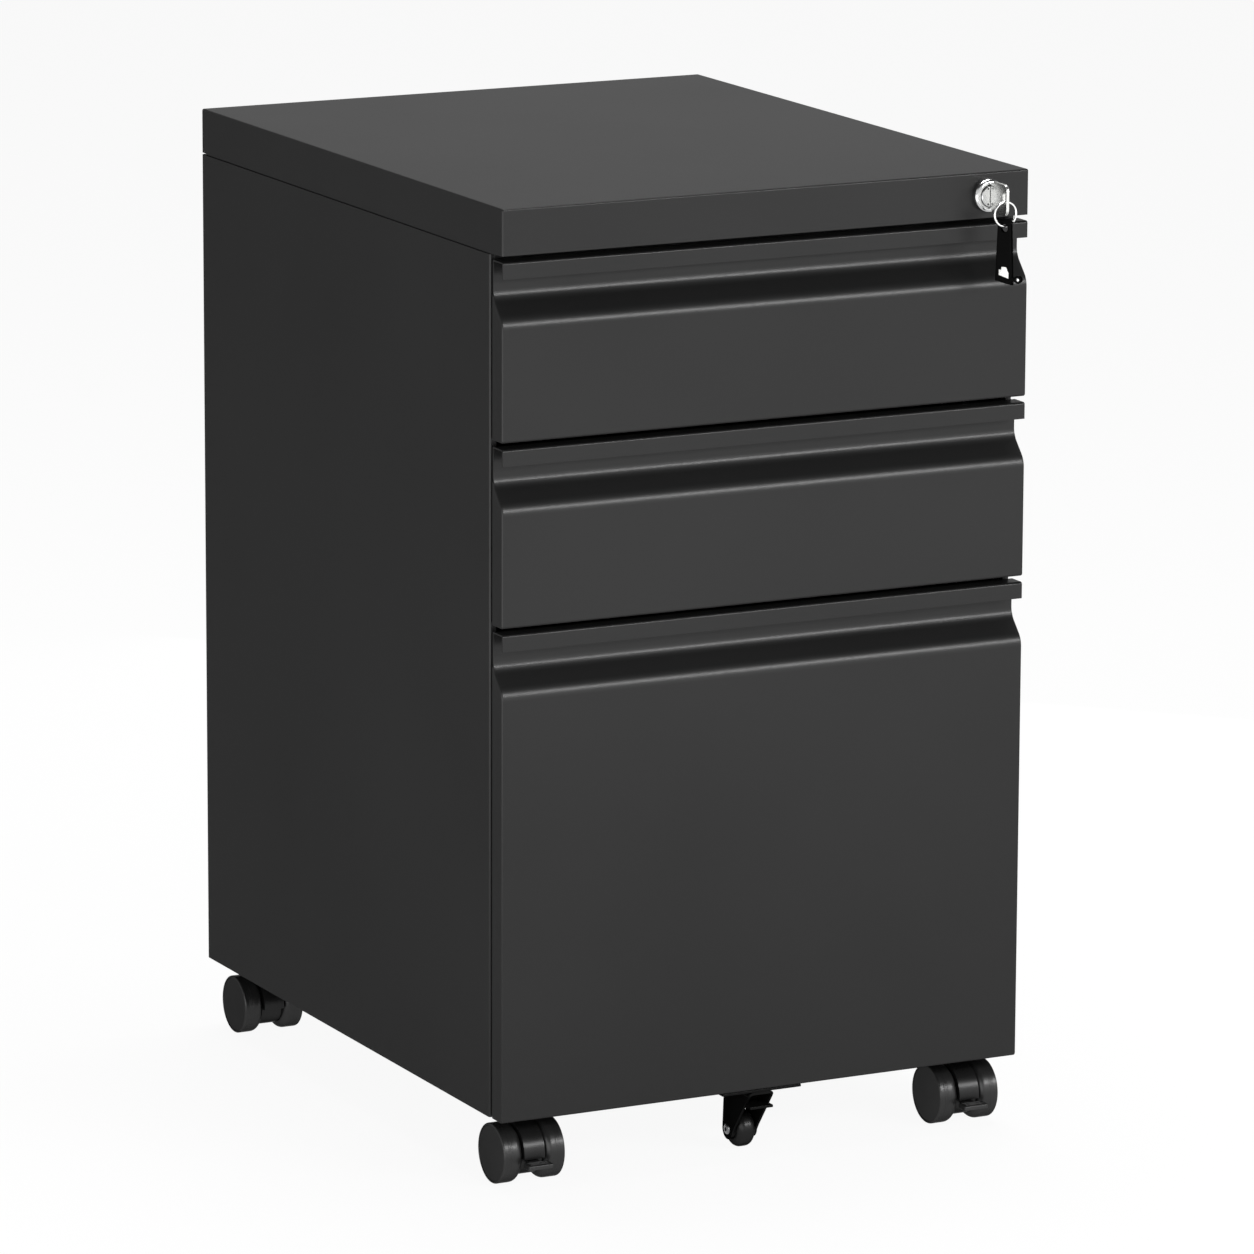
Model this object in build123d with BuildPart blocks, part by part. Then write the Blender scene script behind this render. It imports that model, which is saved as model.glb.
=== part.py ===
from build123d import *
import math
import os

# A three-drawer mobile pedestal in folded sheet steel: two box drawers over one filing drawer, a
# lift-on lid that carries the lock, four twin-wheel casters and one fixed wheel under the filing
# drawer. Millimetres, +Z up. The origin is on the floor under the middle of the whole outline,
# the drawers face -Y, and the lock is at the +X end of the lid.

# ---- Driving sizes: the cabinet -------------------------------------------------------------
width = 380.0
depth = 468.0
ground_gap = 48.0  # floor to the underside of the body and of the lowest front
box_front_height = 116.0
file_front_height = 322.0
reveal = 4.0  # gap over each drawer front
lid_height = 30.0
lid_seam = 1.2  # dark line between the lid and the sides
sheet = 0.8  # body and drawer boxes
skin = 1.0  # lid and drawer fronts
seat = 0.1  # left between two pieces that are welded or screwed face to face
body_bend = 1.2  # bends of the body, at the middle of the sheet

# ---- Driving sizes: drawer fronts -----------------------------------------------------------
front_depth = 14.5  # the folded front, front to back
front_clearance = 2.5  # gap between a shut front and the body's front edge
lip_height = 11.0
recess_height = 24.0  # top of the front to the foot of the recess wall
slope_height = 14.5
lip_bend = 1.0
recess_bend = 3.0
corner_round = 1.0

# ---- Driving sizes: the body ----------------------------------------------------------------
front_return = 5.0
rear_return = 14.0
pan_height = 15.0  # upstands of the base pan and of the deck
pan_corner = 4.0
upright_depth = 5.0
upright_width = 30.0
upright_inset = 46.0  # from each end of the slides to the middle of an upright
lid_hem = 12.0
lid_edge_round = 1.3
lid_corner_round = 1.6
lid_screw_inset = 7.0
lid_screw_from_end = 110.0
screw_radius = 1.75
screw_head_radius = 3.5
screw_head_height = 2.0
screw_grip = 4.0  # how far a lid screw stands above the hem

# ---- Driving sizes: slides and drawer boxes -------------------------------------------------
slide_length = 400.0
slide_height = 45.0
slide_depth = 12.6
slide_gauge = 1.2
slide_gap = 0.3  # between one slide member and the next
slide_setback = 42.0  # front plane to the slides' front ends
drawer_travel = 385.0
box_depth = 430.0
box_lift = 20.0  # underside of a front to the underside of its box
box_front_overlap = 8.0  # of a box's front wall with the recess wall that it is welded to
box_slide_rise = 33.0  # underside of a box to the middle of its slides
file_slide_rise = 100.0
file_catch_rise = 150.0
rail_offset = 6.0  # drawer side to the blade that hangs the files
rail_height = 10.0
rail_gauge = 1.5

# ---- Driving sizes: lock, key and spare key -------------------------------------------------
lock_inset = 31.0
lock_flange_radius = 11.0
lock_proud = 5.0
lock_flange_bevel = 1.2
lock_barrel_radius = 9.5
lock_barrel_length = 22.0
lock_nut_flats = 23.0
lock_nut_height = 4.0
plug_radius = 7.0
plug_proud = 1.0
plug_bevel = 0.5
turn_fit = 0.05  # radial gap of every turning fit
keyway_width = 2.6
keyway_height = 8.0
key_blade_length = 20.0
key_gap = 0.3  # key to keyway, each side
tail_width = 6.0
cam_boss_radius = 6.0
cam_thickness = 2.0
cam_pin_orbit = 6.0
cam_pin_radius = 1.5
cam_pin_slack = 0.5
cam_pin_length = 3.5
bow_reach = 27.5  # front plane to the far edge of the key's bow
bow_height = 20.5
bow_round = 4.5
bow_slot_width = 3.4
bow_slot_height = 7.0
bow_slot_drop = 2.1  # lock's axis to the foot of the slot
bow_rim = 1.6  # metal left between the slot and the bow's far edge
ring_radius = 7.9  # at the middle of the wire; the ring clears the top drawer's front
ring_wire_radius = 0.7
ring_slack = 0.3
spare_length = 41.0
spare_top_width = 9.6
spare_foot_width = 12.8
spare_thickness = 3.0
spare_turn = 60.0  # the spare key hangs turned from the front by this many degrees
spare_hole_radius = 2.6
spare_hole_slack = 0.8  # wire to the top of the hole that hangs on it
spare_hole_drop = 4.2  # top of the spare key to its hole
spare_ear_reach = 10.5
spare_ear_radius = 2.6
spare_ear_lift = 4.0
spare_window = 7.5
spare_window_lift = 4.0
spare_blade_thickness = 1.6

# ---- Driving sizes: locking bar -------------------------------------------------------------
bar_thickness = 1.5
bar_width = 12.0
bar_side_gap = 1.1
bar_foot_height = 9.5
bar_foot_margin = 2.5  # metal left beyond the slot for the cam's pin
bar_tail = 16.0  # bar below its lowest tab
bar_gap = 0.3  # cam to bar
tab_height = 8.0
tab_overlap = 5.3  # of a tab with the catch over it
tab_pass = 1.2  # a drawer's catch clears the unlocked bar by this much
catch_reach = 10.7
catch_gauge = 1.5
catch_gap = 1.0  # between a shut drawer's catch and the locked bar
catch_base = 12.0
guide_height = 10.0
guide_gauge = 1.0
guide_gap = 0.3
guide_from_tab = 32.0

# ---- Driving sizes: casters -----------------------------------------------------------------
wheel_radius = 20.0
caster_width = 44.0
caster_side_inset = 7.0
front_axle_inset = 30.0  # front plane to the front axles
rear_axle_inset = 28.0  # back of the body to the rear axles
caster_trail = 12.0
hood_width = 14.6
hood_gap = 0.5  # hood to the wheel beside it
hood_radius = 19.8
hood_core_radius = 15.6
hood_shell = 3.6
hood_band_drop = 1.5  # axle to the lower edge of the band between the wheels
wheel_inner_round = 5.0
wheel_outer_round = 1.6
wheel_cap = 2.5  # plastic left outside the end of the axle
axle_radius = 3.0
axle_end_gap = 0.5
stem_radius = 4.0
stem_boss_radius = 7.0
stem_depth = 20.0  # of the stem inside the hood's boss
stem_collar_radius = 9.5
stem_collar_height = 3.0
stem_head_radius = 6.5
stem_head_height = 3.0
pedal_width = 17.6
pedal_depth = 9.5
pedal_thickness = 3.2
pedal_reach = 30.0  # axle to the pedal's far edge
pedal_drop = 3.0  # axle to the top of the pedal
pedal_pivot_reach = 12.2  # axle to the pedal's trunnions
pedal_pivot_radius = 1.6
pedal_stem_width = 8.0
pedal_stem_gap = 0.3
pedal_room = 1.2  # over and under the pedal inside the hood

# ---- Driving sizes: the fixed wheel under the filing drawer ---------------------------------
fifth_radius = 12.5
fifth_width = 13.0
fifth_floor_gap = 1.5
fifth_setback = 32.0
fifth_round = 5.0
fifth_pin_radius = 2.5
fifth_head_radius = 3.6
fifth_head_height = 1.3
fork_plate_width = 58.0
fork_plate_depth = 12.5
fork_gauge = 1.8
fork_gap = 1.0
fork_top_length = 36.0
fork_foot_radius = 7.0
fork_bridge_drop = 11.5
fork_bridge_length = 18.0

# ---- Places worked out from the driving sizes -----------------------------------------------
spare_sine = math.sin(math.radians(spare_turn))
spare_cosine = math.cos(math.radians(spare_turn))
ring_setback = bow_rim + bow_slot_width / 2
spare_spread = (spare_ear_reach + spare_ear_radius) * spare_sine + spare_thickness / 2 * spare_cosine
key_reach = bow_reach - ring_setback + spare_spread
front_y = -(depth - key_reach) / 2
back_y = front_y + depth
body_y = front_y + front_depth + front_clearance
side_x = width / 2
file_top = ground_gap + file_front_height
lid_bottom = file_top + 2 * (reveal + box_front_height) + reveal
lid_top = lid_bottom + lid_height
panel_height = lid_bottom - lid_seam - ground_gap
inner_x = side_x - sheet - seat  # outside of whatever stands against a side
inner_front_y = body_y + sheet + seat
back_panel_y = back_y - 2 * sheet - seat
inner_back_y = back_panel_y - seat

front_bottoms = [file_top + reveal + box_front_height + reveal, file_top + reveal, ground_gap]
front_heights = [box_front_height, box_front_height, file_front_height]
side_heights = [height - box_lift - recess_height + box_front_overlap for height in front_heights]
slide_rises = [box_slide_rise, box_slide_rise, file_slide_rise]
box_catch_rise = box_slide_rise + slide_height / 2 + tab_height + 2 * tab_pass
catch_rises = [box_catch_rise, box_catch_rise, file_catch_rise]
box_bottoms = [bottom + box_lift for bottom in front_bottoms]

slide_outer_x = inner_x - upright_depth - seat  # cabinet side of the slides
slide_inner_x = slide_outer_x - slide_depth  # drawer side of the slides
drawer_x = slide_inner_x - seat
slide_y = front_y + slide_setback
box_y = front_y + front_depth + seat

lock_x = side_x - lock_inset
lock_z = lid_bottom + lid_height / 2
cam_y = front_y + lock_barrel_length + turn_fit
bar_y = cam_y + cam_thickness + bar_gap
bar_x = side_x - sheet - bar_side_gap
cam_pin_offset = cam_pin_orbit * math.sin(math.radians(45))
bar_foot_z = lock_z - cam_pin_offset
bar_top = bar_foot_z + bar_foot_height / 2

ring_y = front_y - bow_reach + ring_setback
ring_top_z = lock_z - bow_slot_drop + ring_slack + ring_wire_radius
ring_z = ring_top_z - ring_radius
spare_z = ring_z - ring_radius

caster_x = side_x - caster_side_inset - caster_width / 2
axle_ys = [front_y + front_axle_inset, back_y - rear_axle_inset]
caster_places = [(x, y) for y in axle_ys for x in (-caster_x, caster_x)]
stem_places = [(x, y + caster_trail) for x, y in caster_places]
wheel_inner = hood_width / 2 + hood_gap
axle_half_length = caster_width / 2 - wheel_cap - axle_end_gap
stem_collar_bottom = ground_gap - seat - stem_collar_height
stem_bottom = stem_collar_bottom - stem_depth

fifth_y = front_y + fifth_setback
fifth_z = fifth_floor_gap + fifth_radius
fork_x = fifth_width / 2 + fork_gap

os.makedirs("parts", exist_ok=True)


def write(piece, name):
    """Name a finished piece and write its STEP file."""
    piece.part.label = name
    export_step(piece.part, f"parts/{name}.step")


# ---- Body -----------------------------------------------------------------------------------
def side_panel(side):
    """One side of the body, folded inward at the front and at the back."""
    middle_x = side * (side_x - sheet / 2)
    front_middle = body_y + sheet / 2
    back_middle = back_y - sheet / 2
    with BuildPart() as panel:
        with BuildSketch(Plane.XY.offset(ground_gap)):
            with BuildLine():
                FilletPolyline(
                    (side * (side_x - front_return), front_middle),
                    (middle_x, front_middle),
                    (middle_x, back_middle),
                    (side * (side_x - rear_return), back_middle),
                    radius=body_bend,
                )
                offset(amount=sheet / 2)
            make_face()
        extrude(amount=panel_height)
    return panel


def back_panel():
    """The flat back, inside the sides' rear returns."""
    with BuildPart() as panel:
        with BuildSketch(Plane.XY.offset(ground_gap)):
            with Locations((0, back_panel_y + sheet / 2)):
                Rectangle(2 * (side_x - sheet - body_bend), sheet)
        extrude(amount=panel_height)
    return panel


def tray(bottom, opening):
    """A shallow tray that fits between the sides, open towards the given end of Z."""
    middle_y = (inner_front_y + inner_back_y) / 2
    with BuildPart() as pan:
        with BuildSketch(Plane.XY.offset(bottom)):
            with Locations((0, middle_y)):
                RectangleRounded(2 * inner_x, inner_back_y - inner_front_y, pan_corner)
        extrude(amount=pan_height)
        offset(amount=-sheet, openings=pan.faces().sort_by(Axis.Z)[opening])
    return pan


def base_pan():
    """The floor of the body, with the holes for the caster stems."""
    pan = tray(ground_gap, -1)
    with BuildPart() as base:
        add(pan.part)
        with Locations([(x, y, ground_gap) for x, y in stem_places]):
            Cylinder(stem_radius + turn_fit, 4 * sheet, mode=Mode.SUBTRACT)
    return base


def bar_passage(bottom, outer_x):
    """The outline of the room that the locking bar needs in a sheet ending at outer_x."""
    near_x = bar_x - bar_thickness - bar_side_gap
    room = bar_width + 2 * bar_side_gap
    with BuildSketch(Plane.XY.offset(bottom)) as passage:
        with Locations((outer_x, bar_y + bar_width / 2)):
            Rectangle(outer_x - near_x, room, align=(Align.MAX, Align.CENTER))
    return passage.sketch


lid_screw_places = [
    (side * (side_x - lid_screw_inset), y)
    for side in (-1, 1)
    for y in (front_y + lid_screw_from_end, back_y - lid_screw_from_end)
]


def deck():
    """The upper cross panel, which the lid rests on."""
    pan = tray(lid_bottom - pan_height, 0)
    with BuildPart() as panel:
        add(pan.part)
        extrude(bar_passage(lid_bottom, side_x), amount=-pan_height, mode=Mode.SUBTRACT)
        with Locations([(x, y, lid_bottom) for x, y in lid_screw_places]):
            Cylinder(screw_radius + turn_fit, 4 * sheet, mode=Mode.SUBTRACT)
    return panel


def lid():
    """The folded lid, open below, with a hem all round that rests on the deck."""
    middle_y = front_y + depth / 2
    hem_bottom = lid_bottom + seat
    with BuildPart() as cover:
        with BuildSketch(Plane.XY.offset(lid_bottom)):
            with Locations((0, middle_y)):
                RectangleRounded(width, depth, lid_corner_round)
        extrude(amount=lid_height)
        fillet(cover.edges().group_by(Axis.Z)[-1], radius=lid_edge_round)
        offset(amount=-skin, openings=cover.faces().sort_by(Axis.Z)[0])
        with BuildSketch(Plane.XY.offset(hem_bottom)):
            with Locations((0, middle_y)):
                RectangleRounded(width - skin, depth - skin, lid_corner_round - skin / 2)
                Rectangle(width - 2 * lid_hem, depth - 2 * lid_hem, mode=Mode.SUBTRACT)
        extrude(amount=skin)
        with BuildSketch(Plane.XZ.offset(-front_y)):
            with Locations((lock_x, lock_z)):
                Circle(lock_barrel_radius + turn_fit)
        extrude(amount=2 * skin, both=True, mode=Mode.SUBTRACT)
        extrude(bar_passage(hem_bottom, side_x - skin), amount=skin, mode=Mode.SUBTRACT)
        with Locations([(x, y, hem_bottom) for x, y in lid_screw_places]):
            Cylinder(screw_radius + turn_fit, 4 * skin, mode=Mode.SUBTRACT)
    return cover


def lid_screws():
    """Four screws driven up through the deck into the lid's hem."""
    head_top = lid_bottom - sheet - seat
    with BuildPart() as screws:
        with Locations([(x, y, head_top) for x, y in lid_screw_places]):
            Cylinder(screw_radius, sheet + skin + screw_grip, align=(Align.CENTER, Align.CENTER, Align.MIN))
            Cylinder(screw_head_radius, screw_head_height, align=(Align.CENTER, Align.CENTER, Align.MAX))
    return screws


upright_ys = (slide_y + upright_inset, slide_y + slide_length - upright_inset)
upright_bottom = ground_gap + pan_height + seat
upright_height = lid_bottom - pan_height - seat - upright_bottom


def slide_uprights():
    """Four vertical channels on the insides of the sides, which carry the slides."""
    web_x = inner_x - upright_depth + sheet / 2
    with BuildPart() as uprights:
        for side in (-1, 1):
            for y in upright_ys:
                near = y - upright_width / 2 + sheet / 2
                far = y + upright_width / 2 - sheet / 2
                with BuildSketch(Plane.XY.offset(upright_bottom)):
                    with BuildLine():
                        FilletPolyline(
                            (side * (inner_x - sheet / 2), near),
                            (side * web_x, near),
                            (side * web_x, far),
                            (side * (inner_x - sheet / 2), far),
                            radius=body_bend,
                        )
                        offset(amount=sheet / 2)
                    make_face()
                extrude(amount=upright_height)
    return uprights


# ---- Slides ---------------------------------------------------------------------------------
def slide_pair(web_x, edge_x, height, middle_z):
    """The left and right members of one stage: channels along Y, webs at web_x, edges at edge_x."""
    half = (height - slide_gauge) / 2
    lean = math.copysign(slide_gauge / 2, edge_x - web_x)
    with BuildPart() as pair:
        for side in (-1, 1):
            with BuildSketch(Plane.XZ.offset(-slide_y)):
                with BuildLine():
                    FilletPolyline(
                        (side * (edge_x - lean), middle_z + half),
                        (side * (web_x + lean), middle_z + half),
                        (side * (web_x + lean), middle_z - half),
                        (side * (edge_x - lean), middle_z - half),
                        radius=slide_gauge,
                    )
                    offset(amount=slide_gauge / 2)
                make_face()
            extrude(amount=-slide_length)
    return pair


stage_step = 2 * (slide_gauge + slide_gap)


def slide_outer(middle_z):
    return slide_pair(slide_outer_x, slide_inner_x + slide_gauge + slide_gap, slide_height, middle_z)


def slide_middle(middle_z):
    web_x = slide_outer_x - slide_gauge - slide_gap
    return slide_pair(web_x, slide_inner_x + slide_gauge + slide_gap, slide_height - stage_step, middle_z)


def slide_inner(middle_z):
    edge_x = slide_outer_x - 2 * (slide_gauge + slide_gap)
    return slide_pair(slide_inner_x, edge_x, slide_height - 2 * stage_step, middle_z)


# ---- Drawers --------------------------------------------------------------------------------
def drawer_front(bottom, height):
    """A folded front: lip, finger recess, sloped shoulder, flat face and side returns."""
    face = front_y + skin / 2
    rear = front_y + front_depth - skin / 2
    top = bottom + height
    recess_foot = top - recess_height
    shoulder = recess_foot - slope_height
    with BuildPart() as front:
        with BuildSketch(Plane.YZ.offset(-side_x)):
            with BuildLine():
                FilletPolyline(
                    (face, top - lip_height + skin / 2),
                    (face, top - skin / 2),
                    (rear, top - skin / 2),
                    (rear, recess_foot),
                    (face, shoulder),
                    (face, bottom + skin / 2),
                    (rear, bottom + skin / 2),
                    radius=[lip_bend, lip_bend, recess_bend, recess_bend, lip_bend],
                )
                offset(amount=skin / 2)
            make_face()
        extrude(amount=width)
        for x in (-side_x, side_x - skin):
            with BuildSketch(Plane.YZ.offset(x)):
                with BuildLine():
                    Polyline(
                        (face, bottom + skin / 2),
                        (face, shoulder),
                        (rear, recess_foot),
                        (rear, bottom + skin / 2),
                        close=True,
                    )
                make_face()
            extrude(amount=skin)
        with BuildSketch(Plane.XY.offset(bottom)) as outline:
            with Locations((0, front_y)):
                Rectangle(width, front_depth, align=(Align.CENTER, Align.MIN))
            fillet(outline.vertices().sort_by(Axis.Y)[:2], radius=corner_round)
        extrude(amount=height, mode=Mode.INTERSECT)
    return front


def drawer_box(bottom, height):
    """The welded box behind a front, open at the top."""
    with BuildPart() as box:
        with BuildSketch(Plane.XY.offset(bottom)):
            with Locations((0, box_y + box_depth / 2)):
                RectangleRounded(2 * drawer_x, box_depth, body_bend)
        extrude(amount=height)
        offset(amount=-sheet, openings=box.faces().sort_by(Axis.Z)[-1])
    return box


catch_y = bar_y + bar_thickness + catch_gap


def drawer_catch(catch_bottom):
    """The angle on a drawer's right side that the locking bar stops."""
    foot_middle = drawer_x + seat + catch_gauge / 2
    tip_x = drawer_x + catch_reach
    with BuildPart() as catch:
        with BuildSketch(Plane.XY.offset(catch_bottom)):
            with BuildLine():
                FilletPolyline(
                    (tip_x, catch_y + catch_gauge / 2),
                    (foot_middle, catch_y + catch_gauge / 2),
                    (foot_middle, catch_y + catch_base),
                    radius=catch_gauge,
                )
                offset(amount=catch_gauge / 2)
            make_face()
        extrude(amount=tab_height)
    return catch


def hanging_rails(box_bottom, side_height):
    """Two folded strips along the filing drawer's sides, whose inner blades carry the files."""
    outer_middle = drawer_x - sheet - seat - rail_gauge / 2
    blade_middle = outer_middle - rail_offset
    top = box_bottom + side_height
    half = rail_gauge / 2
    rail_end_gap = sheet + body_bend
    with BuildPart() as rails:
        for side in (-1, 1):
            with BuildSketch(Plane.XZ.offset(-(box_y + rail_end_gap))):
                with BuildLine():
                    FilletPolyline(
                        (side * outer_middle, top - half),
                        (side * outer_middle, top - rail_height + half),
                        (side * blade_middle, top - rail_height + half),
                        (side * blade_middle, top - half),
                        radius=rail_gauge,
                    )
                    offset(amount=half)
                make_face()
            extrude(amount=-(box_depth - 2 * rail_end_gap))
    return rails


# ---- Lock -----------------------------------------------------------------------------------
def along_y(y):
    """The XZ plane at y, with its origin on the lock's axis; +extrude runs towards the front."""
    return Plane(origin=(lock_x, y, lock_z), x_dir=(1, 0, 0), z_dir=(0, -1, 0))


def lock_housing():
    """The chromed barrel with its round flange on the lid's front."""
    flange_y = front_y - seat
    with BuildPart() as housing:
        with BuildSketch(along_y(flange_y)):
            Circle(lock_flange_radius)
        extrude(amount=lock_proud - seat)
        chamfer(housing.edges().sort_by(Axis.Y)[0], length=lock_flange_bevel)
        with BuildSketch(along_y(front_y + lock_barrel_length)):
            Circle(lock_barrel_radius)
        extrude(amount=lock_barrel_length + seat)
        with BuildSketch(along_y(front_y + lock_barrel_length)):
            Circle(plug_radius + turn_fit)
        extrude(amount=lock_barrel_length + 2 * lock_proud, mode=Mode.SUBTRACT)
    return housing


def lock_nut():
    """The hexagon nut that holds the barrel in the lid."""
    nut_y = front_y + skin + seat + lock_nut_height
    with BuildPart() as nut:
        with BuildSketch(along_y(nut_y)):
            RegularPolygon(lock_nut_flats / 2, 6, major_radius=False, rotation=30)
            Circle(lock_barrel_radius + turn_fit, mode=Mode.SUBTRACT)
        extrude(amount=lock_nut_height)
    return nut


def lock_plug():
    """The turning plug, with its keyway and the square tail that drives the cam."""
    rear_y = front_y + lock_barrel_length
    tail_length = cam_thickness + 2 * turn_fit
    face_y = front_y - lock_proud - plug_proud
    with BuildPart() as plug:
        with BuildSketch(along_y(rear_y)):
            Circle(plug_radius)
        extrude(amount=rear_y - face_y)
        chamfer(plug.edges().sort_by(Axis.Y)[0], length=plug_bevel)
        with BuildSketch(along_y(rear_y + tail_length)):
            Rectangle(tail_width, tail_width)
        extrude(amount=tail_length)
        with BuildSketch(along_y(face_y)):
            Rectangle(keyway_width, keyway_height)
        extrude(amount=-(key_blade_length + plug_proud), mode=Mode.SUBTRACT)
    return plug


def lock_cam():
    """The cam on the plug's tail, whose pin lifts the locking bar."""
    pin_x = -cam_pin_offset
    pin_z = -cam_pin_offset
    with BuildPart() as cam:
        with BuildSketch(along_y(cam_y + cam_thickness)):
            Circle(cam_boss_radius)
            with Locations((pin_x, pin_z)):
                Circle(2 * cam_pin_radius)
            Rectangle(tail_width + 2 * turn_fit, tail_width + 2 * turn_fit, mode=Mode.SUBTRACT)
        extrude(amount=cam_thickness)
        with BuildSketch(along_y(cam_y + cam_thickness + cam_pin_length)):
            with Locations((pin_x, pin_z)):
                Circle(cam_pin_radius)
        extrude(amount=cam_pin_length)
    return cam


def lock_key():
    """The key in the lock: blade in the keyway, flat bow upright in front of it."""
    thickness = keyway_width - 2 * key_gap
    blade_height = keyway_height - 2 * key_gap
    face_y = front_y - lock_proud - plug_proud
    bow_near = face_y - key_gap
    bow_far = front_y - bow_reach
    bow_middle = (bow_near + bow_far) / 2
    slot_middle = bow_far + ring_setback
    slot_z = lock_z - bow_slot_drop + bow_slot_height / 2
    with BuildPart() as key:
        with BuildSketch(Plane.YZ.offset(lock_x - thickness / 2)):
            with Locations((bow_middle, lock_z)):
                RectangleRounded(bow_near - bow_far, bow_height, bow_round)
            with Locations((slot_middle, slot_z)):
                SlotOverall(bow_slot_height, bow_slot_width, rotation=90, mode=Mode.SUBTRACT)
            with Locations((bow_near + (key_blade_length - bow_round) / 2, lock_z)):
                Rectangle(key_blade_length + bow_round, blade_height)
        extrude(amount=thickness)
    return key


def key_ring():
    """The wire ring that hangs in the slot of the bow."""
    with BuildPart() as ring:
        with Locations(Plane(origin=(lock_x, ring_y, ring_z), x_dir=(1, 0, 0), z_dir=(0, -1, 0))):
            Torus(ring_radius, ring_wire_radius)
    return ring


spare_plane = Plane(
    origin=(lock_x, ring_y, spare_z),
    x_dir=(spare_cosine, -spare_sine, 0),
    z_dir=(-spare_sine, -spare_cosine, 0),
)
spare_hole_z = ring_wire_radius + spare_hole_slack - spare_hole_radius
spare_top = spare_hole_z + spare_hole_drop
spare_foot = spare_top - spare_length


def spare_blade_outline(gap):
    """The stepped end of the spare key's blade, grown by gap."""
    half = spare_window / 2
    low = spare_foot + spare_window_lift
    with BuildSketch() as outline:
        with BuildLine():
            Polyline(
                (-half, low + half / 2),
                (half, low),
                (half, low + half),
                (half / 2, low + spare_window),
                (-half / 2, low + spare_window),
                (-half / 2, low + half + half / 2),
                (-half, low + half + half / 2),
                close=True,
            )
        make_face()
        if gap:
            offset(amount=gap, kind=Kind.INTERSECTION)
    return outline.sketch


def spare_key_head():
    """The plastic head of the spare key, turned to hang on the ring."""
    ear_z = spare_foot + spare_ear_lift
    with BuildPart() as head:
        with BuildSketch(spare_plane.offset(-spare_thickness / 2)):
            with BuildLine():
                Polyline(
                    (-spare_top_width / 2, spare_top),
                    (spare_top_width / 2, spare_top),
                    (spare_foot_width / 2, spare_foot),
                    (-spare_foot_width / 2, spare_foot + spare_ear_lift / 2),
                    close=True,
                )
            make_face()
            with Locations((spare_ear_reach, ear_z)):
                Circle(spare_ear_radius)
            with Locations((spare_ear_reach / 2, ear_z)):
                Rectangle(spare_ear_reach, spare_ear_radius)
            with Locations((0, spare_hole_z)):
                Circle(spare_hole_radius, mode=Mode.SUBTRACT)
        extrude(amount=spare_thickness)
        with BuildSketch(spare_plane.offset(spare_thickness / 2)):
            add(spare_blade_outline(seat))
        extrude(amount=-spare_blade_thickness, mode=Mode.SUBTRACT)
    return head


def spare_key_blade():
    """The bright steel end of the spare key, set in its head."""
    with BuildPart() as blade:
        with BuildSketch(spare_plane.offset(spare_thickness / 2)):
            add(spare_blade_outline(0))
        extrude(amount=-(spare_blade_thickness - seat))
    return blade


# ---- Locking bar ----------------------------------------------------------------------------
catch_bottoms = [bottom + rise for bottom, rise in zip(box_bottoms, catch_rises)]
tab_bottoms = [bottom - tab_pass - tab_height for bottom in catch_bottoms]
bar_bottom = tab_bottoms[2] - bar_tail


def lock_bar():
    """The upright bar behind the right side's front return: a foot for the cam's pin, a tab a drawer."""
    foot_near = lock_x - cam_pin_orbit - cam_pin_radius - cam_pin_slack - bar_foot_margin
    slot_middle = lock_x - (cam_pin_orbit + cam_pin_offset) / 2
    slot_length = cam_pin_orbit - cam_pin_offset + 2 * (cam_pin_radius + cam_pin_slack)
    tab_near = drawer_x + catch_reach - tab_overlap
    with BuildPart() as bar:
        with BuildSketch(Plane.XY.offset(bar_bottom)):
            with Locations((bar_x - bar_thickness / 2, bar_y + bar_width / 2)):
                Rectangle(bar_thickness, bar_width)
        extrude(amount=bar_top - bar_bottom)
        with BuildSketch(Plane.XZ.offset(-bar_y)):
            with Locations(((foot_near + bar_x) / 2, bar_foot_z)):
                Rectangle(bar_x - foot_near, bar_foot_height)
            with Locations((slot_middle, bar_foot_z)):
                Rectangle(slot_length, 2 * (cam_pin_radius + cam_pin_slack), mode=Mode.SUBTRACT)
            for tab_bottom in tab_bottoms:
                with Locations(((tab_near + bar_x) / 2, tab_bottom + tab_height / 2)):
                    Rectangle(bar_x - tab_near, tab_height)
        extrude(amount=-bar_thickness)
    return bar


def lock_bar_guides():
    """Two straps on the right side that keep the locking bar upright."""
    near = bar_y - guide_gap - guide_gauge / 2
    far = bar_y + bar_width + guide_gap + guide_gauge / 2
    strap_x = bar_x - bar_thickness - guide_gap - guide_gauge / 2
    wall_x = inner_x - guide_gauge / 2
    guide_bottoms = [tab_bottoms[2] + guide_from_tab, tab_bottoms[0] - guide_from_tab]
    with BuildPart() as guides:
        for guide_bottom in guide_bottoms:
            with BuildSketch(Plane.XY.offset(guide_bottom)):
                with BuildLine():
                    Polyline((wall_x, near), (strap_x, near), (strap_x, far), (wall_x, far))
                    offset(amount=guide_gauge / 2)
                make_face()
            extrude(amount=guide_height)
    return guides


# ---- Casters --------------------------------------------------------------------------------
def axle_plane(x, y):
    """The XZ plane through an axle, with its origin on the axle."""
    return Plane(origin=(x, y, wheel_radius), x_dir=(1, 0, 0), z_dir=(0, -1, 0))


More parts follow.
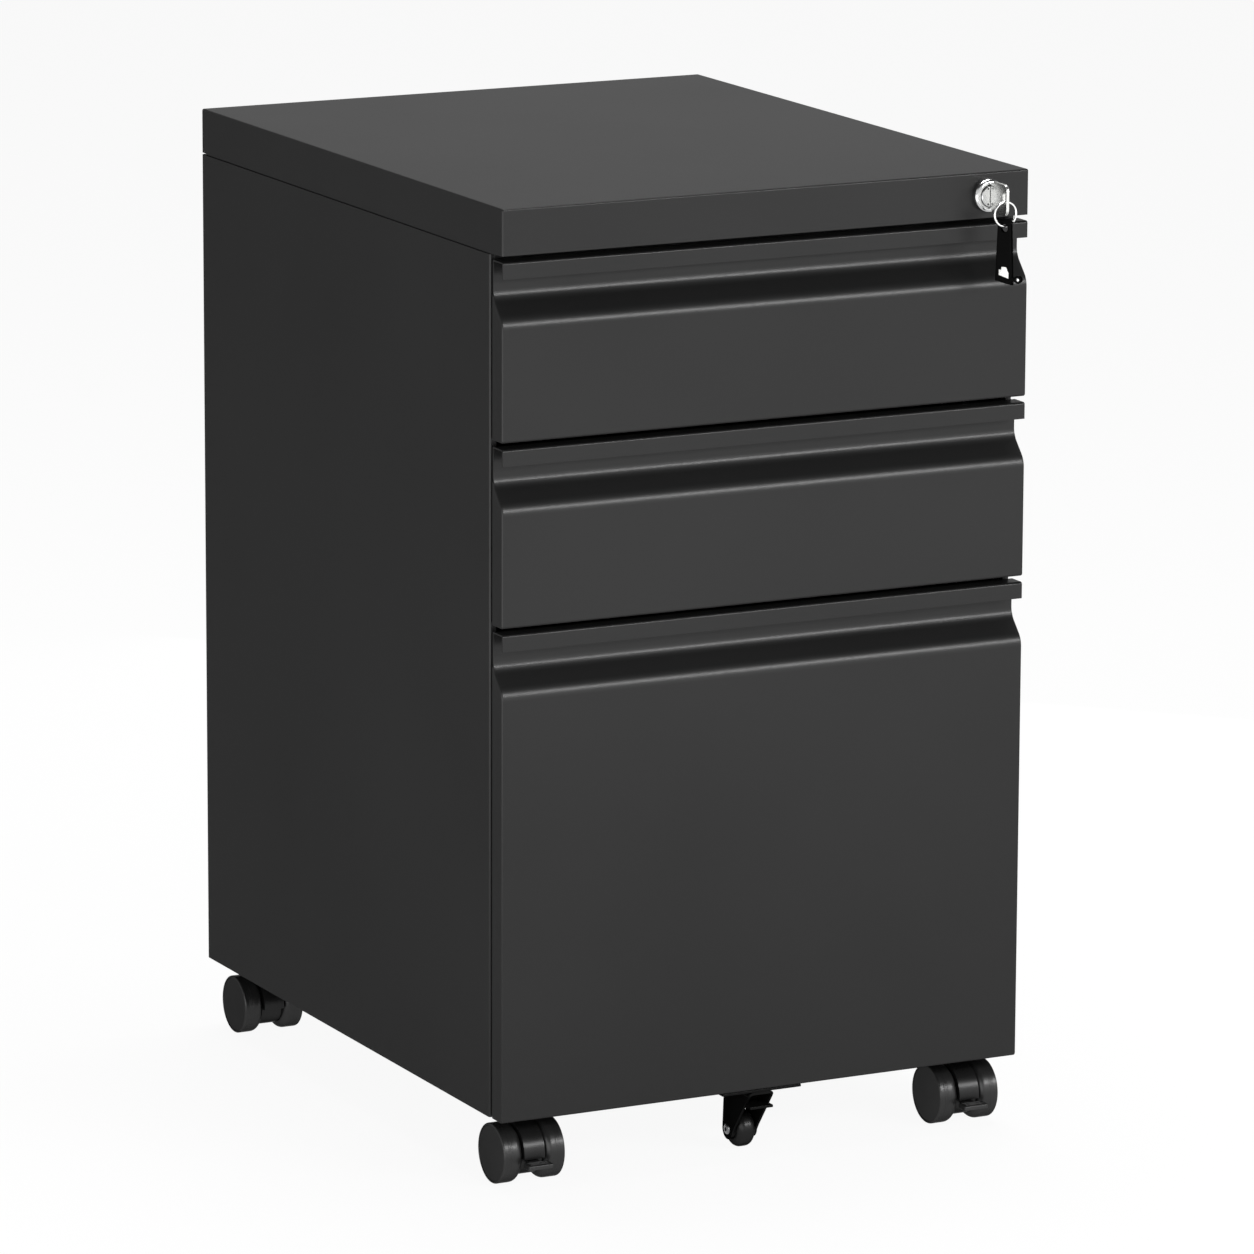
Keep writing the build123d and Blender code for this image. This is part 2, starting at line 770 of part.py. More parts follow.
def caster_wheel(x, y, side):
    """One wheel of a twin: rounded tread, closed outer face, blind bore."""
    near = side * wheel_inner
    far = side * caster_width / 2
    bore_end = side * (caster_width / 2 - wheel_cap)
    bore = axle_radius + turn_fit
    with BuildPart() as wheel:
        with BuildSketch(axle_plane(x, y)) as section:
            with BuildLine():
                Polyline(
                    (near, bore),
                    (near, wheel_radius),
                    (far, wheel_radius),
                    (far, 0),
                    (bore_end, 0),
                    (bore_end, bore),
                    close=True,
                )
            make_face()
            rim = section.vertices().group_by(Axis.Y)[-1].sort_by(Axis.X, reverse=side < 0)
            fillet(rim[0], radius=wheel_inner_round)
            rim = section.vertices().group_by(Axis.Y)[-1].sort_by(Axis.X, reverse=side < 0)
            fillet(rim[-1], radius=wheel_outer_round)
        revolve(axis=Axis((x, y, wheel_radius), (1, 0, 0)))
    return wheel


def caster_axle(x, y):
    """The steel pin through a hood and both its wheels."""
    with BuildPart() as axle:
        with BuildSketch(Plane.YZ.offset(x - axle_half_length)):
            with Locations((y, wheel_radius)):
                Circle(axle_radius)
        extrude(amount=2 * axle_half_length)
    return axle


def caster_hood(x, y, braked):
    """The plastic body between two wheels, with the boss for its stem."""
    top = stem_collar_bottom - seat
    boss_bottom = stem_bottom - hood_shell
    pedal_middle = wheel_radius - pedal_drop - pedal_thickness / 2
    pocket_height = pedal_thickness + 2 * pedal_room
    with BuildPart() as hood:
        with BuildSketch(Plane.YZ.offset(x - hood_width / 2)):
            with Locations((y, wheel_radius)):
                Circle(hood_radius)
            with Locations((y, wheel_radius - hood_band_drop)):
                Rectangle(
                    2 * hood_radius, hood_radius, align=(Align.CENTER, Align.MAX), mode=Mode.SUBTRACT
                )
            with Locations((y, wheel_radius)):
                Circle(hood_core_radius)
                Circle(axle_radius + turn_fit, mode=Mode.SUBTRACT)
        extrude(amount=hood_width)
        with BuildSketch(Plane.XY.offset(boss_bottom)):
            with Locations((x, y + caster_trail)):
                Circle(stem_boss_radius)
        extrude(amount=top - boss_bottom)
        with BuildSketch(Plane.XY.offset(stem_bottom - turn_fit)):
            with Locations((x, y + caster_trail)):
                Circle(stem_radius + turn_fit)
        extrude(amount=top - stem_bottom + 2 * seat, mode=Mode.SUBTRACT)
        if braked:
            with BuildSketch(Plane.YZ.offset(x - pedal_stem_width / 2 - pedal_stem_gap)):
                with Locations((y - pedal_pivot_reach, pedal_middle)):
                    Rectangle(hood_radius, pocket_height, align=(Align.MAX, Align.CENTER))
                    Circle(pocket_height / 2)
            extrude(amount=pedal_stem_width + 2 * pedal_stem_gap, mode=Mode.SUBTRACT)
            with BuildSketch(Plane.YZ.offset(x - hood_width / 2)):
                with Locations((y - pedal_pivot_reach, pedal_middle)):
                    Circle(pedal_pivot_radius + turn_fit)
            extrude(amount=hood_width, mode=Mode.SUBTRACT)
    return hood


def caster_stems():
    """Four stems, each riveted into the base pan over a thrust collar."""
    rivet_bottom = ground_gap + sheet + seat
    up = (Align.CENTER, Align.CENTER, Align.MIN)
    with BuildPart() as stems:
        with Locations([(x, y, stem_bottom) for x, y in stem_places]):
            Cylinder(stem_radius, rivet_bottom + stem_head_height - stem_bottom, align=up)
        with Locations([(x, y, stem_collar_bottom) for x, y in stem_places]):
            Cylinder(stem_collar_radius, stem_collar_height, align=up)
        with Locations([(x, y, rivet_bottom) for x, y in stem_places]):
            Cylinder(stem_head_radius, stem_head_height, align=up)
    return stems


def brake_pedal(x, y):
    """The foot pedal at the front of a braked caster, on its two trunnions."""
    top = wheel_radius - pedal_drop
    far = y - pedal_reach
    pivot_y = y - pedal_pivot_reach
    trunnion_width = hood_width - 2 * seat
    with BuildPart() as pedal:
        with BuildSketch(Plane.XY.offset(top - pedal_thickness)):
            with Locations((x, far)):
                Rectangle(pedal_width, pedal_depth, align=(Align.CENTER, Align.MIN))
                Rectangle(pedal_stem_width, pivot_y - far, align=(Align.CENTER, Align.MIN))
        extrude(amount=pedal_thickness)
        fillet(pedal.edges().filter_by(Axis.Z).sort_by(Axis.Y)[:2], radius=pedal_thickness / 2)
        with BuildSketch(Plane.YZ.offset(x - trunnion_width / 2)):
            with Locations((pivot_y, top - pedal_thickness / 2)):
                Circle(pedal_pivot_radius)
        extrude(amount=trunnion_width)
    return pedal


# ---- Fixed wheel ----------------------------------------------------------------------------
def fifth_fork():
    """The pressed fork screwed under the filing drawer's front."""
    plate_top = ground_gap - seat
    web_top = plate_top - fork_gauge
    near = front_y + (front_depth - fork_plate_depth) / 2
    half_width = fork_x + fork_gauge
    with BuildPart() as fork:
        with BuildSketch(Plane.XY.offset(web_top)):
            with Locations((0, near)):
                Rectangle(fork_plate_width, fork_plate_depth, align=(Align.CENTER, Align.MIN))
        extrude(amount=fork_gauge)
        with BuildSketch(Plane.XY.offset(web_top - fork_gauge)):
            with Locations((0, near)):
                Rectangle(2 * half_width, fork_top_length, align=(Align.CENTER, Align.MIN))
        extrude(amount=fork_gauge)
        with BuildSketch(Plane.XY.offset(web_top - fork_bridge_drop)):
            with Locations((0, near)):
                Rectangle(2 * half_width, fork_bridge_length, align=(Align.CENTER, Align.MIN))
        extrude(amount=fork_gauge)
        for x in (-half_width, fork_x):
            with BuildSketch(Plane.YZ.offset(x)):
                with BuildLine():
                    Line((near, web_top), (near + fork_top_length, web_top))
                    CenterArc((fifth_y, fifth_z), fork_foot_radius, 180, 180)
                make_hull()
            extrude(amount=fork_gauge)
        with BuildSketch(Plane.YZ.offset(-half_width)):
            with Locations((fifth_y, fifth_z)):
                Circle(fifth_pin_radius + turn_fit)
        extrude(amount=2 * half_width, mode=Mode.SUBTRACT)
    return fork


def fifth_pin():
    """The rivet that the fixed wheel turns on."""
    half_width = fork_x + fork_gauge + seat
    with BuildPart() as pin:
        with BuildSketch(Plane.YZ.offset(-half_width)):
            with Locations((fifth_y, fifth_z)):
                Circle(fifth_pin_radius)
        extrude(amount=2 * half_width)
        for x in (-half_width - fifth_head_height, half_width):
            with BuildSketch(Plane.YZ.offset(x)):
                with Locations((fifth_y, fifth_z)):
                    Circle(fifth_head_radius)
            extrude(amount=fifth_head_height)
    return pin


def fifth_wheel():
    """The fixed wheel, rounded across its tread."""
    with BuildPart() as wheel:
        with BuildSketch(Plane(origin=(0, fifth_y, fifth_z), x_dir=(1, 0, 0), z_dir=(0, -1, 0))) as section:
            with Locations((0, (fifth_radius + fifth_pin_radius + turn_fit) / 2)):
                Rectangle(fifth_width, fifth_radius - fifth_pin_radius - turn_fit)
            fillet(section.vertices().group_by(Axis.Y)[-1], radius=fifth_round)
        revolve(axis=Axis((0, fifth_y, fifth_z), (1, 0, 0)))
    return wheel


# ---- Everything is made and written ---------------------------------------------------------
write(side_panel(-1), "left_side_panel")
write(side_panel(1), "right_side_panel")
write(back_panel(), "back_panel")
write(base_pan(), "base_pan")
write(deck(), "deck")
write(lid(), "lid")
write(lid_screws(), "lid_screws")
write(slide_uprights(), "slide_uprights")

for number in (1, 2, 3):
    box_bottom = box_bottoms[number - 1]
    slide_z = box_bottom + slide_rises[number - 1]
    write(drawer_front(front_bottoms[number - 1], front_heights[number - 1]), f"drawer_front_{number}")
    write(drawer_box(box_bottom, side_heights[number - 1]), f"drawer_box_{number}")
    write(drawer_catch(catch_bottoms[number - 1]), f"drawer_catch_{number}")
    write(slide_outer(slide_z), f"slide_outer_{number}")
    write(slide_middle(slide_z), f"slide_middle_{number}")
    write(slide_inner(slide_z), f"slide_inner_{number}")
write(hanging_rails(box_bottoms[2], side_heights[2]), "hanging_rails")

write(lock_housing(), "lock_housing")
write(lock_nut(), "lock_nut")
write(lock_plug(), "lock_plug")
write(lock_cam(), "lock_cam")
write(lock_key(), "lock_key")
write(key_ring(), "key_ring")
write(spare_key_head(), "spare_key_head")
write(spare_key_blade(), "spare_key_blade")
write(lock_bar(), "lock_bar")
write(lock_bar_guides(), "lock_bar_guides")

write(caster_stems(), "caster_stems")
caster_names = ["front_left", "front_right", "rear_left", "rear_right"]
for name, (x, y) in zip(caster_names, caster_places):
    braked = name.startswith("front")
    write(caster_hood(x, y, braked), f"caster_hood_{name}")
    write(caster_axle(x, y), f"caster_axle_{name}")
    write(caster_wheel(x, y, -1), f"caster_wheel_{name}_outer" if x < 0 else f"caster_wheel_{name}_inner")
    write(caster_wheel(x, y, 1), f"caster_wheel_{name}_inner" if x < 0 else f"caster_wheel_{name}_outer")
    if braked:
        write(brake_pedal(x, y), f"brake_pedal_{name}")

write(fifth_fork(), "fifth_fork")
write(fifth_pin(), "fifth_pin")
write(fifth_wheel(), "fifth_wheel")
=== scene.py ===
# %% [markdown]
# A dark steel filing pedestal on casters. The part itself is already made, as rigid solids with
# joints. This script dresses that frame: it builds the sheet metal, wheels and lock again with the
# soft bends and small details that catch the light, and gives everything its finish. All sizes are
# metres, and every place is read from the solids, so that nothing drifts away from them.
# %% Load the frame
import bpy
import bmesh
import math
from mathutils import Matrix, Vector


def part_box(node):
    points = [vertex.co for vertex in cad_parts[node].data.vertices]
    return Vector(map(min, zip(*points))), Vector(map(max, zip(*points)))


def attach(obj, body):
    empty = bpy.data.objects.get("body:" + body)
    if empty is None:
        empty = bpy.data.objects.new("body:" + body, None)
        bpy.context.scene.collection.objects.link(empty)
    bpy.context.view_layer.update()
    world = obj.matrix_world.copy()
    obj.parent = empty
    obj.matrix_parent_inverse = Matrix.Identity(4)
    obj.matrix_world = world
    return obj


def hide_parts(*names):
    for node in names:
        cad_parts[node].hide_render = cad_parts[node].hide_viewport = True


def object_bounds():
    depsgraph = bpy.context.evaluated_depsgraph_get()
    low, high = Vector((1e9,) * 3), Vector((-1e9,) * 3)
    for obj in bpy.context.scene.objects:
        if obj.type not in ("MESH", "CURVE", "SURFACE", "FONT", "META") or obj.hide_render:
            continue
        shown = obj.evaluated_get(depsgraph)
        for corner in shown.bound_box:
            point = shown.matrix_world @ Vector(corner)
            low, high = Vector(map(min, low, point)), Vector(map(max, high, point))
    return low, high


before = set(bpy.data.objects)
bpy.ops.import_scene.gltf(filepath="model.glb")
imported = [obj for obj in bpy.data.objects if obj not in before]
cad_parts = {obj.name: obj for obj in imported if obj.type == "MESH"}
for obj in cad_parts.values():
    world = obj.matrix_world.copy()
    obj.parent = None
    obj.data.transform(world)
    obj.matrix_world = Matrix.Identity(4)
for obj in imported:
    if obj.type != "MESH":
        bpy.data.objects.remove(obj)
cad_box = [list(corner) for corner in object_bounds()]
mm = 0.001
X, Y, Z = Vector((1, 0, 0)), Vector((0, 1, 0)), Vector((0, 0, 1))


def shown(name, data):
    """A new object in the scene, of a mesh, curve, camera or light."""
    thing = bpy.data.objects.new(name, data)
    bpy.context.collection.objects.link(thing)
    return thing


# %% [markdown]
# The camera stands ahead of the cabinet and to its left, a little above the lid, and far away with a
# long lens. A long lens keeps upright edges upright, which is how furniture is usually shown.
# %% Camera
front_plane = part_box("lid")[0].y
target = Vector((8.7 * mm, front_plane + 216.8 * mm, 314 * mm))
distance, lens = 5.233, 223.6
turn, rise, roll = math.radians(-26.83), math.radians(12.40), math.radians(0.24)
back = Vector((math.sin(turn) * math.cos(rise), -math.cos(turn) * math.cos(rise), math.sin(rise)))
camera = shown("camera", bpy.data.cameras.new("camera"))
camera.data.lens = lens
camera.data.sensor_width = 36
camera.data.clip_end = 60
camera.location = target + distance * back
aimed = back.to_track_quat("Z", "Y").to_matrix().to_4x4()
camera.matrix_world = Matrix.Translation(camera.location) @ aimed @ Matrix.Rotation(roll, 4, "Z")
bpy.context.scene.camera = camera
bpy.context.scene.view_settings.view_transform = "Standard"
print("camera", [round(v, 3) for v in camera.location])

# %% [markdown]
# Finishes, folds and the studio are all made of nodes, so two short functions add a node and feed
# it. Shader maths reads best as plain expressions: a Wire wraps one output of a node, and each
# operator on it adds the Math node that does the sum. By hand, 0.3 + mask * 0.2 would fill a page.
# %% Nodes, and shader sums as expressions
def emptied(owner):
    """The node tree of a material or a world, with nothing in it yet."""
    owner.use_nodes = True
    owner.node_tree.nodes.clear()
    return owner.node_tree


def plug(tree, socket, value):
    """Feed an input: a link from another node's output, or a plain value."""
    if isinstance(value, Wire):
        value = value.socket
    if isinstance(value, bpy.types.NodeSocket):
        tree.links.new(value, socket)
    else:
        socket.default_value = value


def add_node(tree, kind, settings=(), inputs=(), output=0):
    """An output of a new node, whose settings are set first, then its inputs by name or in order."""
    node = tree.nodes.new(kind)
    for name, value in dict(settings).items():
        setattr(node, name, value)
    pairs = inputs.items() if isinstance(inputs, dict) else enumerate(inputs)
    for name, value in pairs:
        plug(tree, node.inputs[name], value)
    return node.outputs[output]


class Wire:
    """An output socket that can be added, multiplied and so on."""

    def __init__(self, finish, socket):
        self.finish = finish
        self.socket = socket

    def sum(self, operation, *others):
        return self.finish.add("ShaderNodeMath", {"operation": operation}, [self, *others])

    def __add__(self, other):
        return self.sum("ADD", other)

    def __sub__(self, other):
        return self.sum("SUBTRACT", other)

    def __mul__(self, other):
        return self.sum("MULTIPLY", other)

    __radd__ = __add__


class Finish:
    """A material under construction: a Principled shader and what feeds it."""

    def __init__(self, name, **constants):
        self.material = bpy.data.materials.new(name)
        self.tree = emptied(self.material)
        self.shader = self.tree.nodes.new("ShaderNodeBsdfPrincipled")
        output = self.tree.nodes.new("ShaderNodeOutputMaterial")
        self.tree.links.new(self.shader.outputs[0], output.inputs[0])
        for name, value in constants.items():
            self.shader.inputs[name.replace("_", " ")].default_value = value

    def add(self, kind, settings=(), inputs=(), output=0):
        return Wire(self, add_node(self.tree, kind, settings, inputs, output))

    def place(self):
        return self.add("ShaderNodeTexCoord", output="Object")

    def noise(self, scale, detail=2.0, roughness=0.5, stretch=None):
        """Soft noise in space, stretched along an axis where a stretch is given."""
        vector = self.place()
        if stretch:
            vector = self.add("ShaderNodeMapping", {}, {"Vector": vector, "Scale": stretch})
        wire = {"Vector": vector, "Scale": scale, "Detail": detail, "Roughness": roughness}
        return self.add("ShaderNodeTexNoise", {}, wire)

    def shade(self, mask, dark, light):
        """A colour between two, by a mask."""
        inputs = {0: mask, 6: (*dark, 1), 7: (*light, 1)}
        return self.add("ShaderNodeMix", {"data_type": "RGBA"}, inputs, output=2)

    def bump(self, height, strength, distance):
        """The surface's normal, pushed in and out by a height."""
        inputs = {"Strength": strength, "Distance": distance, "Height": height}
        return self.add("ShaderNodeBump", {}, inputs)

    def feed(self, **wires):
        for name, wire in wires.items():
            plug(self.tree, self.shader.inputs[name.replace("_", " ")], wire)
        print("finish", self.material.name, "nodes", len(self.tree.nodes))
        return self.material


def grey(value):
    """A colour without a tint."""
    return (value, value, value)


# %% [markdown]
# The sheet steel has a dark charcoal powder coat. Baked powder is never quite flat: it flows into a
# faint orange peel a few millimetres across, with a fine grain on top that spreads the shine. The
# colour hardly changes, so most of the work is in the bump and the roughness. A clear gloss would
# turn pale wherever it is seen along the surface, and this coat stays dark there, so its shine is
# a partly metallic one with a dark tint.
# %% Powder coat
def dark_film(metallic, tint):
    """What keeps a black finish black when it is seen along its surface."""
    return {"Metallic": metallic, "Specular IOR Level": 0.0, "Specular Tint": (*grey(tint), 1)}


def powder_coat(name, dark, light, roughness):
    finish = Finish(name, **dark_film(0.6, 0.5))
    drift = finish.noise(5, detail=3)
    peel = finish.noise(260, detail=1.5)
    grain = finish.noise(2600, detail=2)
    height = peel + grain * 0.25
    return finish.feed(
        Base_Color=finish.shade(drift, grey(dark), grey(light)),
        Roughness=roughness + (grain - 0.5) * 0.10 + (drift - 0.5) * 0.05,
        Normal=finish.bump(height, 0.06, 0.10 * mm),
    )


coat = powder_coat("powder_coat", 0.029, 0.035, 0.30)
coat_inside = powder_coat("powder_coat_inside", 0.028, 0.035, 0.42)

# %% [markdown]
# Slides, rails and small hardware are zinc plated. Plated strip keeps the long grain of the rolling
# mill under a slightly cloudy shine. A noise stretched along the strip gives the grain, and a soft
# one gives the clouds. The hollow rivet of the support wheel is plain steel, the same but darker.
# %% Zinc plate
def zinc_plate(name, stretch, dark=(0.44, 0.455, 0.47), light=(0.58, 0.585, 0.58)):
    finish = Finish(name, Metallic=1.0)
    cloud = finish.noise(60, detail=3)
    grain = finish.noise(1, detail=4, roughness=0.65, stretch=stretch)
    return finish.feed(
        Base_Color=finish.shade(cloud, dark, light),
        Roughness=0.30 + (grain - 0.5) * 0.25 + (cloud - 0.5) * 0.12,
        Normal=finish.bump(grain, 0.25, 0.03 * mm),
    )


zinc_long = zinc_plate("zinc_strip", (3000, 40, 3000))
zinc_upright = zinc_plate("zinc_upright", (3000, 3000, 40))
zinc_small = zinc_plate("zinc_hardware", (900, 900, 900))
rivet_steel = zinc_plate("rivet_steel", (900, 900, 900), (0.15, 0.15, 0.155), grey(0.24))

# %% [markdown]
# The lock is chrome on a turned face, so its flange and plug carry very fine rings round the lock's
# axis. The rings come from the distance to that axis, which is exact at any size. The loose ring of
# wire has no axis to turn about, so it gets a plain polish with a few smudges.
# %% Chrome
flange_low, flange_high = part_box("lock_housing")
lock_centre = (flange_low + flange_high) / 2
lock_centre.y = flange_low.y
ring_pitch = 0.45 * mm


finish = Finish("turned_chrome", Metallic=1.0)
smudge = finish.noise(180, detail=3)
offset = {"Vector": finish.place(), "Location": -lock_centre}
centred = finish.add("ShaderNodeMapping", {}, offset)
across, upward = (finish.add("ShaderNodeSeparateXYZ", {}, [centred], output=axis) for axis in (0, 2))
radius = (across * across + upward * upward).sum("SQRT")
rings = (radius * (math.tau / ring_pitch)).sum("SINE")
lock_chrome = finish.feed(
    Base_Color=finish.shade(smudge, (0.42, 0.43, 0.44), (0.60, 0.60, 0.59)),
    Roughness=0.14 + smudge * 0.10 + rings * 0.03,
    Normal=finish.bump(rings, 0.35, 0.02 * mm),
)

finish = Finish("polished_wire", Metallic=1.0)
smudge = finish.noise(300, detail=3)
wire_chrome = finish.feed(
    Base_Color=finish.shade(smudge, (0.78, 0.78, 0.78), (0.93, 0.93, 0.92)),
    Roughness=0.10 + smudge * 0.14,
    Normal=finish.bump(smudge, 0.08, 0.05 * mm),
)

# %% [markdown]
# The key is nickel-plated brass, punched from strip: a fine upright grain, softer than chrome.
# %% Key metal
finish = Finish("nickel_plate", Metallic=1.0)
grain = finish.noise(1, detail=3, stretch=(2500, 300, 2500))
cloud = finish.noise(150, detail=2)
key_nickel = finish.feed(
    Base_Color=finish.shade(cloud, (0.50, 0.50, 0.49), (0.66, 0.66, 0.64)),
    Roughness=0.28 + (grain - 0.5) * 0.20,
    Normal=finish.bump(grain, 0.2, 0.02 * mm),
)

# %% [markdown]
# Hoods, pedals and the spare key's head are moulded nylon, with the fine sparkle of a spark-eroded
# mould. The treads are the same plastic rubbed by the floor: rolling leaves fine lines round them,
# so that noise depends on the place along the axle and hardly on the rest.
# %% Moulded plastics
glossy_black = dark_film(0.7, 0.4)


def moulded(name, dark, light, roughness, grain_size):
    finish = Finish(name, **glossy_black)
    grain = finish.noise(1 / grain_size, detail=2)
    drift = finish.noise(40, detail=2)
    return finish.feed(
        Base_Color=finish.shade(drift, grey(dark), grey(light)),
        Roughness=roughness + (grain - 0.5) * 0.12 + (drift - 0.5) * 0.06,
        Normal=finish.bump(grain, 0.20, 0.06 * mm),
    )


hood_plastic = moulded("hood_nylon", 0.024, 0.032, 0.29, 0.5 * mm)
# This black nylon is the spare key's head. It is also put on the lock plug as small discs that paint the
# shade inside two holes.
black_nylon_and_hole_shade = moulded("key_head_nylon_and_hole_shade", 0.003, 0.005, 0.40, 0.4 * mm)
pedal_plastic = moulded("pedal_nylon", 0.045, 0.056, 0.38, 0.4 * mm)
cap_plastic = moulded("wheel_cap_nylon", 0.034, 0.042, 0.36, 0.3 * mm)
gloss_plastic = moulded("support_wheel_nylon", 0.018, 0.026, 0.30, 0.8 * mm)

finish = Finish("tread_nylon", **glossy_black)
lines = finish.noise(1, detail=3, roughness=0.7, stretch=(2600, 25, 25))
drift = finish.noise(60, detail=2)
tread_plastic = finish.feed(
    Base_Color=finish.shade(drift, grey(0.038), grey(0.047)),
    Roughness=0.31 + (lines - 0.5) * 0.30,
    Normal=finish.bump(lines, 0.05, 0.03 * mm),
)

# %% [markdown]
# The bracket of the support wheel is dipped in black enamel: glossier than powder, with a slow wave.
# %% Enamel
finish = Finish("black_enamel", **glossy_black)
wave = finish.noise(150, detail=2)
fork_enamel = finish.feed(
    Base_Color=finish.shade(wave, grey(0.009), grey(0.013)),
    Roughness=0.26 + wave * 0.12,
    Normal=finish.bump(wave, 0.25, 0.10 * mm),
)

# %% [markdown]
# Folded sheet follows one rule everywhere: a line of straight runs, a bend radius at each corner,
# and a length to press it along. That rule is a Geometry Nodes tree: the line is rounded by Fillet
# Curve and drawn out by Extrude Mesh. Solidify then gives the steel its gauge, and Bevel breaks the
# cut edges as powder does.
# %% Geometry Nodes helper
def made_mesh(piece):
    """The plain mesh that an object's modifiers or curve make."""
    graph = bpy.context.evaluated_depsgraph_get()
    return bpy.data.meshes.new_from_object(piece.evaluated_get(graph), depsgraph=graph)


class Recipe:
    """A Geometry Nodes tree under construction, with named sizes."""

    KINDS = {float: "NodeSocketFloat", int: "NodeSocketInt", Vector: "NodeSocketVector"}

    def __init__(self, name, **sizes):
        self.tree = bpy.data.node_groups.new(name, "GeometryNodeTree")
        face = self.tree.interface
        face.new_socket("Geometry", in_out="INPUT", socket_type="NodeSocketGeometry")
        face.new_socket("Geometry", in_out="OUTPUT", socket_type="NodeSocketGeometry")
        self.keys = {}
        for label, kind in sizes.items():
            title = label.replace("_", " ")
            socket = face.new_socket(title, in_out="INPUT", socket_type=self.KINDS[kind])
            self.keys[label] = socket.identifier
        finish = face.new_socket("Finish", in_out="INPUT", socket_type="NodeSocketMaterial")
        self.keys["finish"] = finish.identifier
        self.start = self.tree.nodes.new("NodeGroupInput")

    def size(self, label):
        return self.start.outputs[label.replace("_", " ")]

    def add(self, kind, settings=(), inputs=()):
        return add_node(self.tree, kind, settings, inputs)

    def serve(self, geometry):
        """Real geometry, in its finish, is what leaves the tree."""
        real = self.add("GeometryNodeRealizeInstances", {}, [geometry])
        paint = {"Geometry": real, "Material": self.size("Finish")}
        finished = self.add("GeometryNodeSetMaterial", {}, paint)
        self.tree.links.new(finished, self.tree.nodes.new("NodeGroupOutput").inputs[0])

    def cook(self, mesh, finish, **sizes):
        """The plain mesh that the tree makes of a starting mesh."""
        holder = shown("holder", mesh)
        modifier = holder.modifiers.new("recipe", "NODES")
        modifier.node_group = self.tree
        modifier[self.keys["finish"]] = finish
        for label, value in sizes.items():
            modifier[self.keys[label]] = value
        cooked = made_mesh(holder)
        bpy.data.objects.remove(holder)
        return cooked


fold_recipe = Recipe("fold a sheet", Run=Vector, Bend_steps=int)
add, size = fold_recipe.add, fold_recipe.size
bend = add("GeometryNodeInputNamedAttribute", {"data_type": "FLOAT"}, {"Name": "bend"})
line = add("GeometryNodeMeshToCurve", {}, [fold_recipe.start.outputs[0]])
fillet = {"Curve": line, "Radius": bend, "Limit Radius": True, "Count": size("Bend_steps")}
rounded = add("GeometryNodeFilletCurve", {"mode": "POLY"}, fillet)
wire_line = add("GeometryNodeCurveToMesh", {}, [rounded])
press = {"Mesh": wire_line, "Offset": size("Run"), "Offset Scale": 1.0}
pressed = add("GeometryNodeExtrudeMesh", {"mode": "EDGES"}, press)
fold_recipe.serve(pressed)
print("recipe", fold_recipe.tree.name, "nodes", len(fold_recipe.tree.nodes))

# %% [markdown]
# Every piece ends in the same few steps: link it, smooth its bends but not its edges, give it its
# finish, and let it ride on its body in place of the plain solid. Weighted normals keep large flat
# faces flat right up to their small bevels.
# %% Finishing a piece
def painted(piece, finish):
    piece.data.materials.clear()
    piece.data.materials.append(finish)
    return piece


def object_of(name, mesh, finish):
    return painted(shown(name, mesh), finish)


def modified(piece, name, kind, **settings):
    modifier = piece.modifiers.new(name, kind)
    for setting, value in settings.items():
        setattr(modifier, setting, value)


def bevelled(piece, width, segments=2, angle=35):
    limit = {"limit_method": "ANGLE", "angle_limit": math.radians(angle)}
    modified(piece, "break edges", "BEVEL", width=width, segments=segments, **limit)


def thickened(piece, gauge, offset=0.0):
    modified(piece, "gauge", "SOLIDIFY", thickness=gauge, offset=offset, use_even_offset=True)


def settled(piece):
    """Replace the modifiers with their result."""
    mesh = made_mesh(piece)
    piece.modifiers.clear()
    piece.data = mesh
    return piece


def smooth(piece, angle=32):
    piece.data.polygons.foreach_set("use_smooth", [True] * len(piece.data.polygons))
    piece.data.set_sharp_from_angle(angle=math.radians(angle))
    modified(piece, "flat faces stay flat", "WEIGHTED_NORMAL", keep_sharp=True)


def fitted(piece, body, stands_for=(), angle=32):
    """A finished piece takes its body and its place in the frame."""
    settled(piece)
    smooth(piece, angle)
    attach(piece, body)
    if stands_for:
        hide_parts(*stands_for)


def facing_away(mesh, inside):
    """Turn a sheet's faces so that most of them look away from a point."""
    lean = sum((face.center - inside).dot(face.normal) * face.area for face in mesh.polygons)
    if lean < 0:
        mesh.flip_normals()
    return mesh


def folded(name, corners, bends, run, finish, inside, steps=8):
    """A folded sheet's middle surface, from its corners and the bend at each."""
    line = bpy.data.meshes.new(name)
    line.from_pydata(corners, [(i, i + 1) for i in range(len(corners) - 1)], [])
    line.attributes.new("bend", "FLOAT", "POINT").data.foreach_set("value", bends)
    mesh = fold_recipe.cook(line, finish, Run=run, Bend_steps=steps)
    mesh.name = name
    return object_of(name, facing_away(mesh, inside), finish)


print("helpers ready")

